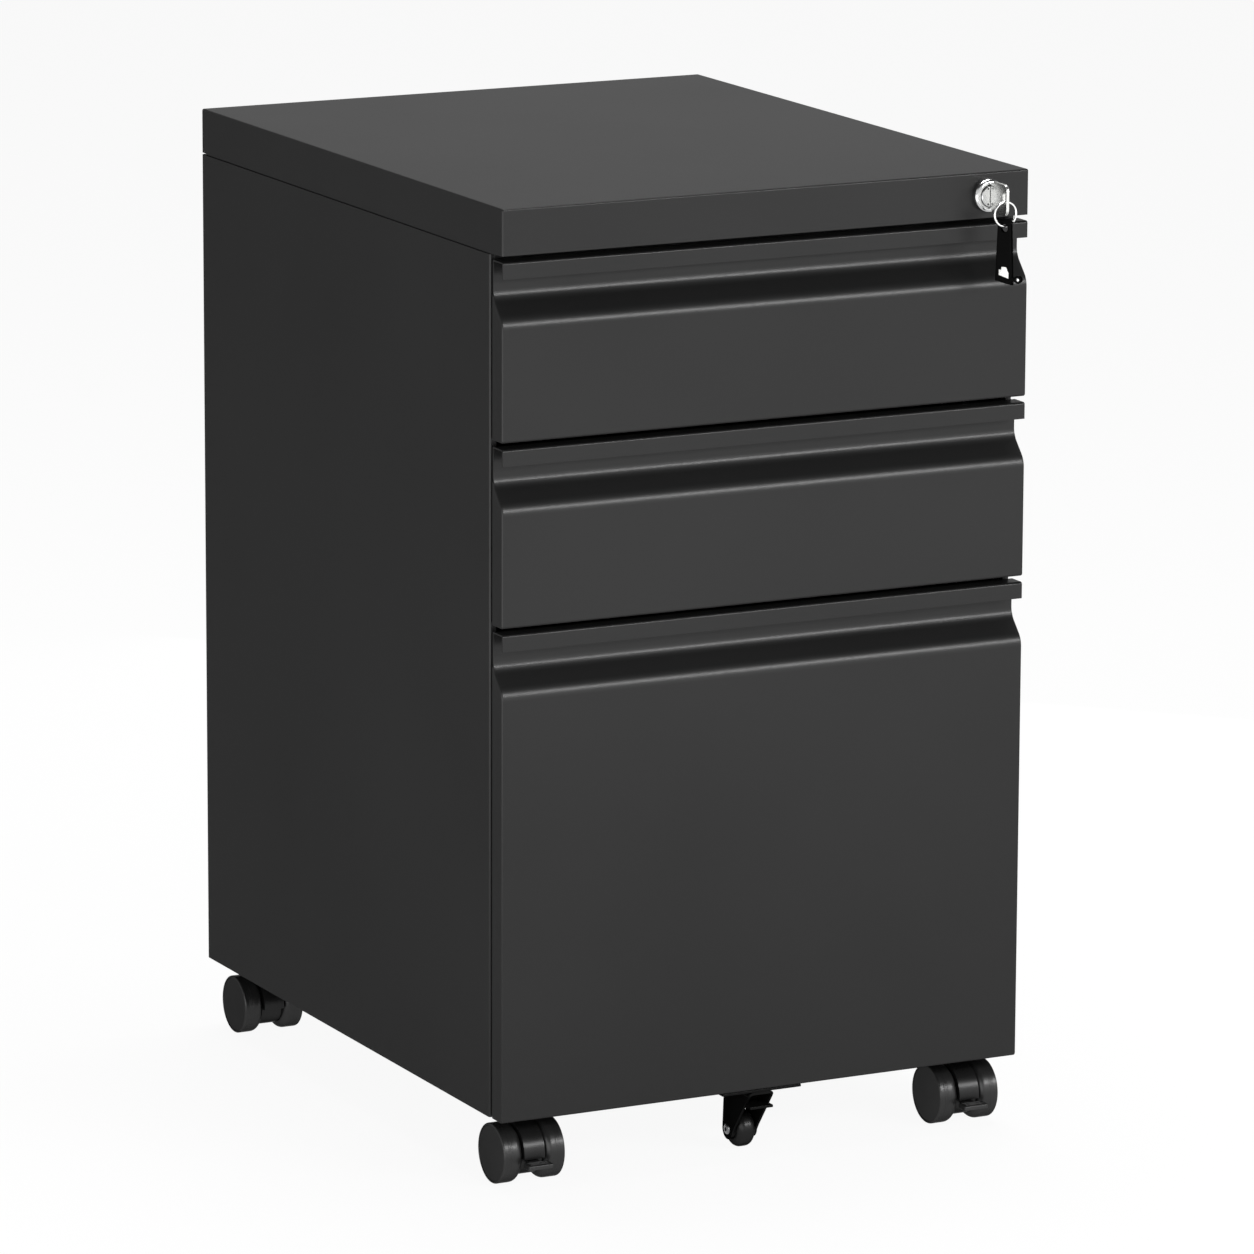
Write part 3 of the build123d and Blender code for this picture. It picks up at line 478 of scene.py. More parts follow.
# %% [markdown]
# The two sides of the body are one sheet each: flat, with a narrow return at the front, which shows
# as a thin bright line beside the drawers, and a wide one at the back that holds the back panel.
# %% Side panels
sheet, shadow_gap = 0.8 * mm, 1.2 * mm
front_return, side_bend = 5 * mm, 1.2 * mm
for word in ("left", "right"):
    low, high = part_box(f"{word}_side_panel")
    outer_x, inner_x = (low.x, high.x) if word == "left" else (high.x, low.x)
    inward = math.copysign(1, inner_x - outer_x)
    skin_x = outer_x + inward * sheet / 2
    front_y, rear_y = low.y + sheet / 2 + shadow_gap, high.y - sheet / 2
    corners = [
        (outer_x + inward * front_return, front_y, low.z),
        (skin_x, front_y, low.z),
        (skin_x, rear_y, low.z),
        (inner_x, rear_y, low.z),
    ]
    run = Vector((0, 0, high.z - low.z))
    bends = [0, side_bend, side_bend, 0]
    panel = folded(f"{word}_side", corners, bends, run, coat, inside=Vector((0, 0, 0.3)))
    thickened(panel, sheet)
    bevelled(panel, 0.25 * mm)
    fitted(panel, "cabinet", [f"{word}_side_panel"])
    print(panel.name, len(panel.data.polygons), "faces")

# %% [markdown]
# The lid is a shallow tray turned over. Its corners are welded and ground, so each edge carries a
# small even round, and a hem is folded in all the way round its foot. A box whose edges are bevelled
# one set at a time, the upright ones and then those of the top, gives each set its own radius.
# %% Lid
near = 0.001 * mm
hem_width, corner_round, edge_round, lid_sheet = 12 * mm, 1.6 * mm, 1.3 * mm, 1.0 * mm


def block_between(work, low, high):
    place = Matrix.Translation((low + high) / 2) @ Matrix.Diagonal((*(high - low), 1))
    bmesh.ops.create_cube(work, size=1.0, matrix=place)


def mesh_of(work, name):
    """A finished mesh, and the end of the bmesh that it was worked in."""
    mesh = bpy.data.meshes.new(name)
    work.to_mesh(mesh)
    work.free()
    return mesh


def round_edges(work, test, radius, segments):
    """Round the edges whose two ends pass a test."""
    chosen = [edge for edge in work.edges if test(edge.verts[0].co, edge.verts[1].co)]
    bmesh.ops.bevel(work, geom=chosen, offset=radius, segments=segments, profile=0.5, affect="EDGES")


def lid_shell():
    low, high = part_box("lid")
    work = bmesh.new()
    block_between(work, low, high)
    foot = [face for face in work.faces if face.normal.z < -0.9]
    bmesh.ops.inset_region(work, faces=foot, thickness=hem_width)
    bmesh.ops.delete(work, geom=foot, context="FACES")
    round_edges(work, lambda a, b: abs(a.z - b.z) > 20 * mm, corner_round, segments=5)
    round_edges(work, lambda a, b: min(a.z, b.z) > high.z - near, edge_round, segments=4)
    return mesh_of(work, "lid_shell")


lid = object_of("lid_shell", lid_shell(), coat)
thickened(lid, lid_sheet, offset=-1.0)
bevelled(lid, 0.6 * mm, segments=3, angle=60)
fitted(lid, "cabinet", ["lid"])
print(lid.name, len(lid.data.polygons), "faces")

# %% [markdown]
# A drawer front is one pressing. From the top down its section is a lip, a flat top, the wall of the
# finger recess, a slope that comes forward to a soft shoulder, and the flat face with its foot. The
# same fold rule makes that strip. Then each end is closed below the recess, and the corner between
# face and end gets its small round before the steel gets its gauge.
# %% Drawer fronts
skin = 1.0 * mm
lip_height = 11 * mm
recess_height = 24 * mm
slope_height = 14.5 * mm
end_round = 0.7 * mm
lip_bend, recess_bend, foot_bend = 1.1 * mm, 13 * mm, 1.2 * mm
round_steps = 4


def chain_at(work, end_x):
    """The strip's edge at one end, in order from the lip down."""
    rim = [edge for edge in work.edges if all(abs(v.co.x - end_x) < near for v in edge.verts)]
    steps = {}
    for edge in rim:
        for v in edge.verts:
            steps.setdefault(v, []).append(edge)
    tips = sorted((v for v in steps if len(steps[v]) == 1), key=lambda v: v.co.z)
    ordered, last = [tips[-1]], None
    while len(ordered) < len(steps):
        last = [edge for edge in steps[ordered[-1]] if edge is not last][0]
        ordered.append(last.other_vert(ordered[-1]))
    return ordered


def ribbon(work, first, second):
    """Faces between two rows of points."""
    for a, b, c, d in zip(first, first[1:], second[1:], second):
        work.faces.new((a, b, c, d))


def close_end(work, chain, outward, foot_z):
    """Above the recess's foot the strip runs straight on. Below it, it rounds over into a flat end."""
    tip = next(i for i, v in enumerate(chain) if v.co.z < foot_z + 2 * mm)
    upper = chain[: tip + 1]
    ribbon(work, upper, [work.verts.new(v.co + outward * end_round * X) for v in upper])
    lower = chain[tip:]
    inward = []
    for i, v in enumerate(lower):
        run = lower[min(i + 1, len(lower) - 1)].co - lower[max(i - 1, 0)].co
        inward.append(Vector((0, -run.z, run.y)).normalized())
    last = lower
    for step in range(1, round_steps + 1):
        turn = math.radians(90 * step / round_steps)
        shift = end_round * math.sin(turn) * outward * X
        sink = end_round * (1 - math.cos(turn))
        ring = [work.verts.new(v.co + shift + n * sink) for v, n in zip(lower, inward)]
        ribbon(work, last, ring)
        last = ring
    work.faces.new(last)


def drawer_front(number):
    low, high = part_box(f"drawer_front_{number}")
    face, rear = low.y + skin / 2, high.y - skin / 2
    left, right = low.x + skin / 2 + end_round, high.x - skin / 2 - end_round
    foot_z = high.z - recess_height
    section = [
        (left, face, high.z - lip_height),
        (left, face, high.z - skin / 2),
        (left, rear, high.z - skin / 2),
        (left, rear, foot_z),
        (left, face, foot_z - slope_height),
        (left, face, low.z + skin / 2),
        (left, rear, low.z + skin / 2),
    ]
    bends = [0, lip_bend, lip_bend, recess_bend, recess_bend, foot_bend, 0]
    inside = Vector((0, rear + 10 * mm, (low.z + foot_z) / 2))
    run = Vector((right - left, 0, 0))
    front = folded(f"front_{number}", section, bends, run, coat, inside, steps=10)
    work = bmesh.new()
    work.from_mesh(front.data)
    for end_x, outward in ((left, -1), (right, 1)):
        close_end(work, chain_at(work, end_x), outward, foot_z)
    bmesh.ops.recalc_face_normals(work, faces=work.faces)
    work.to_mesh(front.data)
    work.free()
    facing_away(front.data, inside)
    thickened(front, skin)
    bevelled(front, 0.2 * mm, angle=60)
    fitted(front, f"drawer_{number}", [f"drawer_front_{number}"])
    print(front.name, len(front.data.polygons), "faces", "height", round((high.z - low.z) / mm), "mm")


for number in (1, 2, 3):
    drawer_front(number)

# %% [markdown]
# Turned and punched pieces need only two more makers. One spins a profile round an axis, for wheels,
# rivets and the lock. The other fills a drawn outline, holes and all, and gives it a thickness with
# rounded edges, for the keys and the pedals: a flat Curve does that, and is made a mesh before it is
# put in its place.
# %% Makers for turned and punched pieces
def turned(name, profile, centre, axis, finish, steps=72):
    """Spin (along, radius) points round an axis through centre. A closed profile needs no caps."""
    axis = axis.normalized()
    aside = axis.orthogonal().normalized()
    work = bmesh.new()
    ring = [work.verts.new(centre + axis * along + aside * radius) for along, radius in profile]
    line = ring + [work.edges.new(pair) for pair in zip(ring, ring[1:])]
    spin = {"cent": centre, "axis": axis, "angle": math.tau, "steps": steps, "use_merge": True}
    bmesh.ops.spin(work, geom=line, **spin)
    bmesh.ops.remove_doubles(work, verts=work.verts, dist=near)
    bmesh.ops.recalc_face_normals(work, faces=work.faces)
    return object_of(name, mesh_of(work, name), finish)


def mirrored(profile, length):
    """A turned profile from the half of it that starts at one end."""
    return profile + [(length - along, radius) for along, radius in reversed(profile)]


def arc(centre, radius, start, end, steps):
    """Points along an arc, both ends included, with angles in degrees."""
    angles = [math.radians(start + (end - start) * i / steps) for i in range(steps + 1)]
    return [(centre[0] + radius * math.cos(a), centre[1] + radius * math.sin(a)) for a in angles]


def punched(name, outlines, thickness, edge, place, finish):
    """A plate from drawn outlines, first its edge and then its holes, put where place says."""
    curve = bpy.data.curves.new(name, "CURVE")
    curve.dimensions = "2D"
    curve.fill_mode = "BOTH"
    curve.extrude = thickness / 2 - edge
    curve.bevel_depth = edge
    curve.bevel_resolution = 2
    curve.offset = -edge
    for outline in outlines:
        spline = curve.splines.new("POLY")
        spline.points.add(len(outline) - 1)
        for point, (u, v) in zip(spline.points, outline):
            point.co = (u, v, 0, 1)
        spline.use_cyclic_u = True
    holder = shown(name, curve)
    mesh = made_mesh(holder)
    bpy.data.objects.remove(holder)
    mesh.transform(place)
    work = bmesh.new()
    work.from_mesh(mesh)
    bmesh.ops.remove_doubles(work, verts=work.verts, dist=near)
    bmesh.ops.recalc_face_normals(work, faces=work.faces)
    work.to_mesh(mesh)
    work.free()
    return object_of(name, mesh, finish)


def joined(name, pieces, finish):
    """Several loose pieces of one part as one object."""
    work = bmesh.new()
    for piece in pieces:
        work.from_mesh(settled(piece).data)
        bpy.data.objects.remove(piece)
    return object_of(name, mesh_of(work, name), finish)


def facing(origin, right, up):
    """The matrix that stands a drawing up, its u along right and its v along up."""
    out = right.cross(up)
    turn = Matrix((right, up, out)).transposed().to_4x4()
    return Matrix.Translation(origin) @ turn


print("makers ready")

# %% [markdown]
# Each caster wheel is turned: a tread that rounds off towards the hood, three fine grooves, and a
# thin rim round a shallow recess at the outside. A cap of its own, a disc very slightly domed, is let
# into that recess. Both profiles are drawn once, from the hood's side outwards, and spun for all eight.
# %% Caster wheels
corner_names = ["front_left", "front_right", "rear_left", "rear_right"]


def wheel_profile(width, radius):
    """Along the axle from the hood's side, and out from the axle."""
    inner_round, outer_round, bore, cap = 5 * mm, 1.1 * mm, 3.05 * mm, 2.5 * mm
    profile = [(width - cap, 0), (width - cap, bore), (0.3 * mm, bore), (0, bore + 0.3 * mm)]
    profile += arc((inner_round, radius - inner_round), inner_round, 180, 90, 8)
    groove_half, groove_depth = 0.22 * mm, 0.10 * mm
    for groove in (0.36, 0.52, 0.68):
        at = inner_round + (width - inner_round - outer_round) * groove
        profile += [(at - groove_half, radius), (at, radius - groove_depth), (at + groove_half, radius)]
    profile += arc((width - outer_round, radius - outer_round), outer_round, 90, 0, 5)
    rim = [(0, 1.4), (0.12, 1.5), (0.60, 1.6), (0.70, 2.4)]
    profile += [(width - back * mm, radius - inside * mm) for back, inside in rim]
    return profile + [(width - 0.45 * mm, 0)]


def cap_profile(width, radius):
    """A thin disc, its back in the wheel and its face just short of the rim."""
    back, edge = width - 2.2 * mm, radius - 1.65 * mm
    face = [(width - 0.50 * mm, edge), (width - 0.25 * mm, edge - 0.35 * mm), (width - 0.05 * mm, 0)]
    return [(back, 0), (back, edge), *face]


for corner in corner_names:
    hood_low, hood_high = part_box(f"caster_hood_{corner}")
    hood_x = (hood_low.x + hood_high.x) / 2
    for side in ("outer", "inner"):
        node, body = f"caster_wheel_{corner}_{side}", f"wheel_{corner}_{side}"
        low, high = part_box(node)
        middle = (low + high) / 2
        outward = math.copysign(1, middle.x - hood_x)
        hub = Vector((low.x if outward > 0 else high.x, middle.y, middle.z))
        width, radius = high.x - low.x, (high.z - low.z) / 2
        wheel = turned(body, wheel_profile(width, radius), hub, outward * X, tread_plastic, steps=96)
        fitted(wheel, body, [node], angle=40)
        disc = cap_profile(width, radius)
        cap = turned(f"wheel_cap_{corner}_{side}", disc, hub, outward * X, cap_plastic, steps=96)
        fitted(cap, body, angle=40)
print("caster wheels", 2 * len(corner_names))

# %% [markdown]
# The brake pedal is a flat tongue that widens to a tread at its far end. Its outline is a T with
# rounded corners, and all its edges are soft from the mould. Three low ribs on the tread give the
# shoe its grip.
# %% Brake pedals
def rounded_outline(corners, radius, steps=5):
    """A closed outline of straight sides with every corner rounded."""
    points = []
    for i, corner in enumerate(corners):
        here, before = Vector(corner), Vector(corners[i - 1])
        after = Vector(corners[i + 1 - len(corners)])
        start = here + (before - here).normalized() * radius
        end = here + (after - here).normalized() * radius
        for step in range(steps + 1):
            t = step / steps
            point = start * (1 - t) ** 2 + here * 2 * t * (1 - t) + end * t ** 2
            points.append((point.x, point.y))
    return points


def box_piece(name, low, high, round_by, finish):
    """A small block with rounded edges."""
    work = bmesh.new()
    block_between(work, Vector(low), Vector(high))
    bmesh.ops.bevel(work, geom=work.edges[:], offset=round_by, segments=3, profile=0.5, affect="EDGES")
    return object_of(name, mesh_of(work, name), finish)


tread_half, neck_half, tread_length, tongue_gauge = 8.8 * mm, 4.0 * mm, 9.5 * mm, 3.2 * mm
pin_radius, pin_edge = 1.6 * mm, 0.25 * mm
rib_half, rib_width, rib_rise, rib_sink = 6.6 * mm, 1.0 * mm, 0.35 * mm, 0.4 * mm
for corner in ("front_left", "front_right"):
    node = f"brake_pedal_{corner}"
    low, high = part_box(node)
    x, top, pin_length = (low.x + high.x) / 2, high.z, high.x - low.x
    middle_z = top - tongue_gauge / 2
    far, step, pivot_y = low.y, low.y + tread_length, high.y - pin_radius
    t_shape = [(-tread_half, far), (tread_half, far), (tread_half, step), (neck_half, step)]
    t_shape += [(neck_half, pivot_y), (-neck_half, pivot_y), (-neck_half, step), (-tread_half, step)]
    outline = rounded_outline(t_shape, 1.2 * mm)
    place = facing(Vector((x, 0, middle_z)), X, Y)
    plate = punched(f"plate_{corner}", [outline], tongue_gauge, 0.7 * mm, place, pedal_plastic)
    pin_end = [(0, 0), (0, pin_radius - pin_edge), (pin_edge, pin_radius)]
    pin_profile = mirrored(pin_end, pin_length)
    pin_start = Vector((x - pin_length / 2, pivot_y, middle_z))
    pin = turned(f"trunnion_{corner}", pin_profile, pin_start, X, pedal_plastic, steps=32)
    ribs = []
    for rib in range(3):
        y = far + (2.6 + 2.3 * rib) * mm
        rib_low = (x - rib_half, y, top - rib_sink)
        rib_high = (x + rib_half, y + rib_width, top + rib_rise)
        ribs.append(box_piece(f"rib_{rib}", rib_low, rib_high, 0.3 * mm, pedal_plastic))
    pedal = joined(f"pedal_{corner}", [plate, pin, *ribs], pedal_plastic)
    fitted(pedal, f"pedal_{corner}", [node], angle=40)
print("brake pedals", 2)

# %% [markdown]
# The lock's flange is a thick chromed ring with a soft edge, turned round the plug. The keyway runs
# upright through the plug, and two small blind holes beside it are where a spanner held it. These holes
# are not cut: thin black discs on the plug's face paint the shade that would lie inside them.
# %% Lock
flange_radius = (flange_high.x - flange_low.x) / 2
proud, length = front_plane - flange_low.y, flange_high.y - flange_low.y
plug_radius, barrel_radius = 7.0 * mm, 9.5 * mm
bore = plug_radius + 0.06 * mm
soft_edge = [(0, 2.2), (0.25, 1.3), (0.8, 0.5), (1.6, 0.1), (2.4, 0)]
profile = [(0.5 * mm, bore), (0.1 * mm, plug_radius + 0.35 * mm), (0, plug_radius + 0.8 * mm)]
profile += [(along * mm, flange_radius - inside * mm) for along, inside in soft_edge]
profile += [(proud - 0.3 * mm, flange_radius), (proud, flange_radius - 0.3 * mm)]
profile += [(proud, barrel_radius), (length - 0.5 * mm, barrel_radius)]
profile += [(length, barrel_radius - 0.5 * mm), (length, bore), profile[0]]
flange = turned("lock_flange", profile, lock_centre, Y, lock_chrome, steps=96)
fitted(flange, "cabinet", ["lock_housing"], angle=50)

plug_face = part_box("lock_plug")[0].y
hole_aside, hole_up = 2.5 * mm, 5.0 * mm
# No holes are cut here: each entry is a thin black nylon disc that paints the shade inside a small blind
# hole.
holes = []
shade_disc_profile = [(0, 0), (0, 0.6 * mm), (0.05 * mm, 0.7 * mm), (0.3 * mm, 0.7 * mm), (0.3 * mm, 0)]
for side in (-1, 1):
    at = Vector((lock_centre.x - hole_aside, plug_face - 0.02 * mm, lock_centre.z + side * hole_up))
    holes.append(turned("painted_hole_shade", shade_disc_profile, at, Y, black_nylon_and_hole_shade, steps=24))
hole_shade_discs = joined("painted_hole_shades", holes, black_nylon_and_hole_shade)
fitted(hole_shade_discs, "lock")
print("lock flange radius", round(flange_radius / mm, 2), "proud", round(proud / mm, 2))

# %% [markdown]
# The key is one punched plate: a round-cornered bow with an upright slot for the ring, and a blade
# that goes straight into the plug. Its edges are tumbled smooth, so its front edge shines.
# %% Key
key_low, key_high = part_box("lock_key")
bow_near = plug_face - 0.3 * mm
bow_far = key_low.y
bow_top, bow_foot = key_high.z, key_low.z
blade_half, blade_tip = 3.7 * mm, 1.5 * mm
bow_round = 4.5 * mm


def key_outline():
    """Around the bow and blade, in (along Y, up Z)."""
    low, middle, high = (lock_centre.z + side * blade_half for side in (-1, 0, 1))
    tip_start, tip = key_high.y - blade_tip, key_high.y
    far, back = bow_far + bow_round, bow_near - bow_round
    foot, top = bow_foot + bow_round, bow_top - bow_round
    outline = arc((far, foot), bow_round, 180, 270, 8) + arc((back, foot), bow_round, 270, 360, 8)
    outline += [(bow_near, low), (tip_start, low), (tip, middle), (tip_start, high), (bow_near, high)]
    return outline + arc((back, top), bow_round, 0, 90, 8) + arc((far, top), bow_round, 90, 180, 8)


ring_low, ring_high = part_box("key_ring")
ring_wire = (ring_high.y - ring_low.y) / 2
ring_centre = (ring_low + ring_high) / 2
ring_radius = (ring_high.z - ring_low.z) / 2 - ring_wire
slot_half, slot_length, slot_play = 1.7 * mm, 7.0 * mm, 0.3 * mm
slot_foot = ring_high.z - ring_wire * 2 - slot_play + slot_half
slot_top = slot_foot + slot_length - 2 * slot_half
ring_slot = arc((ring_centre.y, slot_foot), slot_half, 180, 360, 10)
ring_slot += arc((ring_centre.y, slot_top), slot_half, 0, 180, 10)
key_gauge = key_high.x - key_low.x
place = facing(Vector((lock_centre.x, 0, 0)), Y, Z)
key = punched("key", [key_outline(), ring_slot], key_gauge, 0.35 * mm, place, key_nickel)
fitted(key, "lock", ["lock_key"], angle=50)
print("key thickness", round(key_gauge / mm, 2), "mm")

# %% [markdown]
# The ring is a bent wire whose ends don't quite meet. An Arc curve swept by a small circle says just
# that: the radius, the gap and the wire's thickness are its sizes, and a Transform stands it up in
# the slot of the bow.
# %% Key ring
angles = {"Start": float, "Sweep": float, "Turn": Vector}
wire_recipe = Recipe("bend a ring", Radius=float, Wire=float, Centre=Vector, **angles)
add, size = wire_recipe.add, wire_recipe.size
sweep = {"Start Angle": size("Start"), "Sweep Angle": size("Sweep")}
along = {"Resolution": 96, "Radius": size("Radius"), **sweep}
bent = add("GeometryNodeCurveArc", {"mode": "RADIUS"}, along)
around = {"Resolution": 16, "Radius": size("Wire")}
section = add("GeometryNodeCurvePrimitiveCircle", {"mode": "RADIUS"}, around)
wire = {"Curve": bent, "Profile Curve": section, "Fill Caps": True}
swept = add("GeometryNodeCurveToMesh", {}, wire)
stand = {"Geometry": swept, "Translation": size("Centre"), "Rotation": size("Turn")}
wire_recipe.serve(add("GeometryNodeTransform", {}, stand))

sizes = {"Radius": ring_radius, "Wire": ring_wire, "Centre": ring_centre}
sizes |= {"Start": math.radians(-42), "Sweep": math.radians(338), "Turn": Vector((math.radians(90), 0, 0))}
ring_mesh = wire_recipe.cook(bpy.data.meshes.new("key_ring_wire"), wire_chrome, **sizes)
ring = object_of("key_ring_wire", ring_mesh, wire_chrome)
fitted(ring, "ring", ["key_ring"], angle=50)
print("ring radius", round(ring_radius / mm, 2), "mm")

# %% [markdown]
# The spare key hangs turned on the ring, so its outline is drawn in its own plane and then put there.
# Its head is a moulded plate with an ear at one side, a hole for the ring, and a stepped window where
# its bright steel shows. A small rivet holds the steel at the ear.
# %% Spare key
head_low, head_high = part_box("spare_key_head")
hang_turn = math.radians(60)
hang_right = Vector((math.cos(hang_turn), -math.sin(hang_turn), 0))
hang_out = hang_right.cross(Z)
hang_point = Vector((ring_centre.x, ring_centre.y, ring_low.z + ring_wire))
hang_top, hang_foot = head_high.z - hang_point.z, head_low.z - hang_point.z
head_gauge = 3.0 * mm
hole_z = hang_top - 4.2 * mm
window_low, window_half = hang_foot + 4.0 * mm, 3.75 * mm
stepped = [(-1, 0.5), (1, 0), (1, 1), (0.5, 2), (-0.5, 2), (-0.5, 1.5), (-1, 1.5)]
window = [(u * window_half, window_low + v * window_half) for u, v in stepped]
ear_x, ear_z, ear_radius, arm_half = 10.5 * mm, hang_foot + 4.0 * mm, 2.6 * mm, 1.3 * mm
side_x = 6.2 * mm
arm_foot = [(side_x, ear_z - arm_half), (ear_x - 2.25 * mm, ear_z - arm_half)]
head_outline = [(-4.8 * mm, hang_top), (-6.4 * mm, hang_foot + 2 * mm), (6.3 * mm, hang_foot), *arm_foot]
head_outline += arc((ear_x, ear_z), ear_radius, 210, 510, 14)
head_outline += [(side_x - 0.05 * mm, ear_z + arm_half), (4.8 * mm, hang_top)]
head_place = facing(hang_point, hang_right, Z)
hole = arc((0, hole_z), 2.6 * mm, 0, 345, 23)
head_holes = [hole, window]
head = punched("spare_head", [head_outline, *head_holes], head_gauge, 0.45 * mm, head_place, black_nylon_and_hole_shade)
fitted(head, "spare_key", ["spare_key_head"], angle=50)

shrink, blade_gauge = 0.985, 2.2 * mm
blade_outline = [(u * shrink, v) for u, v in window]
blade_place = head_place @ Matrix.Translation((0, 0, 0.1 * mm))
blade = punched("spare_blade", [blade_outline], blade_gauge, 0.15 * mm, blade_place, key_nickel)
fitted(blade, "spare_key", ["spare_key_blade"], angle=50)

rivet_rise = 0.35 * mm
rivet_length = head_gauge + 2 * rivet_rise
rivet_start = hang_point + hang_right * ear_x + Z * ear_z - hang_out * (rivet_length / 2)
rivet_profile = mirrored([(0, 0), (0.08 * mm, 0.7 * mm), (rivet_rise, 1.2 * mm)], rivet_length)
rivet = turned("spare_rivet", rivet_profile, rivet_start, hang_out, wire_chrome, steps=32)
fitted(rivet, "spare_key")
print("spare key length", round((hang_top - hang_foot) / mm, 1), "mm")

# %% [markdown]
# The bracket of the support wheel is one pressing: two legs that narrow to rounded feet, and a top
# bent over between them. Each point of its section has its own width, so the strip is drawn as a
# grid, section by section, and then gets its gauge. A flat plate above takes the screws and a short
# bridge below ties the legs.
# %% Support wheel's bracket
fork_low, fork_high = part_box("fifth_fork")
support_low, support_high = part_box("fifth_wheel")
axle_y, axle_z = (support_low.y + support_high.y) / 2, (support_low.z + support_high.z) / 2
gauge = 1.8 * mm
leg_x = 7.5 * mm + gauge / 2
top_z = fork_high.z - gauge - gauge / 2
near_y, far_y = fork_low.y, fork_low.y + 36 * mm
foot_radius, top_bend = 7 * mm, 2.6 * mm


def leg_span(z):
    """Where a leg starts and ends along Y at a height."""
    if z < axle_z:
        half = math.sqrt(max(foot_radius ** 2 - (axle_z - z) ** 2, (0.6 * mm) ** 2))
        return axle_y - half, axle_y + half
    share = min((z - axle_z) / (top_z - axle_z), 1)
    start = (axle_y - foot_radius) * (1 - share) + near_y * share
    return start, (axle_y + foot_radius) * (1 - share) + far_y * share


side_line = [(leg_x, axle_z - foot_radius * math.cos(math.radians(a))) for a in range(4, 91, 10)]
side_line += [(leg_x, axle_z + (top_z - top_bend - axle_z) * i / 8) for i in range(1, 9)]
corner_line = arc((leg_x - top_bend, top_z - top_bend), top_bend, 0, 90, 7)[1:]
half_line = side_line + corner_line
section_line = [(-x, z) for x, z in half_line] + [(x, z) for x, z in reversed(half_line)]
work = bmesh.new()
columns = 9
grid = []
for x, z in section_line:
    start, end = leg_span(z)
    grid.append([work.verts.new((x, start + (end - start) * c / (columns - 1), z)) for c in range(columns)])
for row, after in zip(grid, grid[1:]):
    ribbon(work, row, after)
bmesh.ops.recalc_face_normals(work, faces=work.faces)
saddle_mesh = facing_away(mesh_of(work, "saddle"), Vector((0, axle_y, axle_z)))
saddle = object_of("saddle", saddle_mesh, fork_enamel)
thickened(saddle, gauge)
bevelled(saddle, 0.3 * mm, angle=50)

plate_depth, bridge_depth, cut_edge = 12.5 * mm, 18 * mm, 0.35 * mm
plate_low = (fork_low.x, near_y, fork_high.z - gauge)
plate_high = (fork_high.x, near_y + plate_depth, fork_high.z)
plate = box_piece("fork_plate", plate_low, plate_high, cut_edge, fork_enamel)
bridge_z = fork_high.z - gauge - 11.5 * mm
bridge_low, bridge_high = (-leg_x, near_y, bridge_z), (leg_x, near_y + bridge_depth, bridge_z + gauge)
bridge = box_piece("fork_bridge", bridge_low, bridge_high, cut_edge, fork_enamel)
fork = joined("support_bracket", [saddle, plate, bridge], fork_enamel)
fitted(fork, "drawer_3", ["fifth_fork"], angle=40)

# %% [markdown]
# The support wheel turns on a hollow rivet, whose two ends are rolled over the legs. The wheel is one
# solid moulding with a round tread. Both are the same on their two sides, so half of each profile is
# drawn, and the other half is that one reversed.
# %% Support wheel and its rivet
pin_low, pin_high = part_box("fifth_pin")
pin_length = pin_high.x - pin_low.x
pin_profile = [(1.8 * mm, 0), (1.8 * mm, 1.1 * mm), (0.2 * mm, 1.35 * mm), (0, 1.8 * mm)]
pin_profile += [(0.35 * mm, 2.9 * mm), (0.9 * mm, 3.5 * mm), (1.3 * mm, 3.6 * mm), (1.3 * mm, 2.5 * mm)]
pin_start = Vector((pin_low.x, axle_y, axle_z))
pin = turned("support_rivet", mirrored(pin_profile, pin_length), pin_start, X, rivet_steel, steps=48)
fitted(pin, "drawer_3", ["fifth_pin"], angle=40)

support_width, support_radius = support_high.x - support_low.x, (support_high.z - support_low.z) / 2
tread_round, bore, dish = 5.0 * mm, 2.55 * mm, 0.5 * mm
shoulder = support_radius - tread_round
profile = [(0.6 * mm, bore), (0, bore + 0.6 * mm), (0, 5.2 * mm), (dish, 5.6 * mm)]
profile += [(dish, shoulder - 1 * mm), (0, shoulder - 0.4 * mm)]
profile += arc((tread_round, shoulder), tread_round, 180, 90, 10)
profile = mirrored(profile, support_width)
profile.append(profile[0])
support_side = Vector((support_low.x, axle_y, axle_z))
support = turned("support_wheel", profile, support_side, X, gloss_plastic, steps=96)
fitted(support, "fifth_wheel", ["fifth_wheel"], angle=40)
print("support wheel radius", round(support_radius / mm, 2), "mm")

# %% [markdown]
# Each inner slide member is riveted through the drawer box's side. A row of points with a rivet head
# instanced on each is a Geometry Nodes job: the row's start, its step and the count are its sizes,
# and a Realize Instances node makes the heads real.
# %% Rivets inside the drawer boxes
row_sizes = {"Count": int, "Start": Vector, "Step": Vector, "Head": float, "Rise": float, "Turn": Vector}
row_recipe = Recipe("row of heads", **row_sizes)
add, size = row_recipe.add, row_recipe.size
places = {"Count": size("Count"), "Start Location": size("Start"), "Offset": size("Step")}
row = add("GeometryNodeMeshLine", {"mode": "OFFSET"}, places)
dome = add("GeometryNodeMeshUVSphere", {}, {"Segments": 24, "Rings": 12, "Radius": 1.0})
squeeze = add("ShaderNodeCombineXYZ", {}, [size("Head"), size("Head"), size("Rise")])
flat_dome = add("GeometryNodeTransform", {}, {"Geometry": dome, "Scale": squeeze})
facing_wall = {"Geometry": flat_dome, "Rotation": size("Turn")}
turned_dome = add("GeometryNodeTransform", {}, facing_wall)
heads = add("GeometryNodeInstanceOnPoints", {}, {"Points": row, "Instance": turned_dome})
row_recipe.serve(heads)

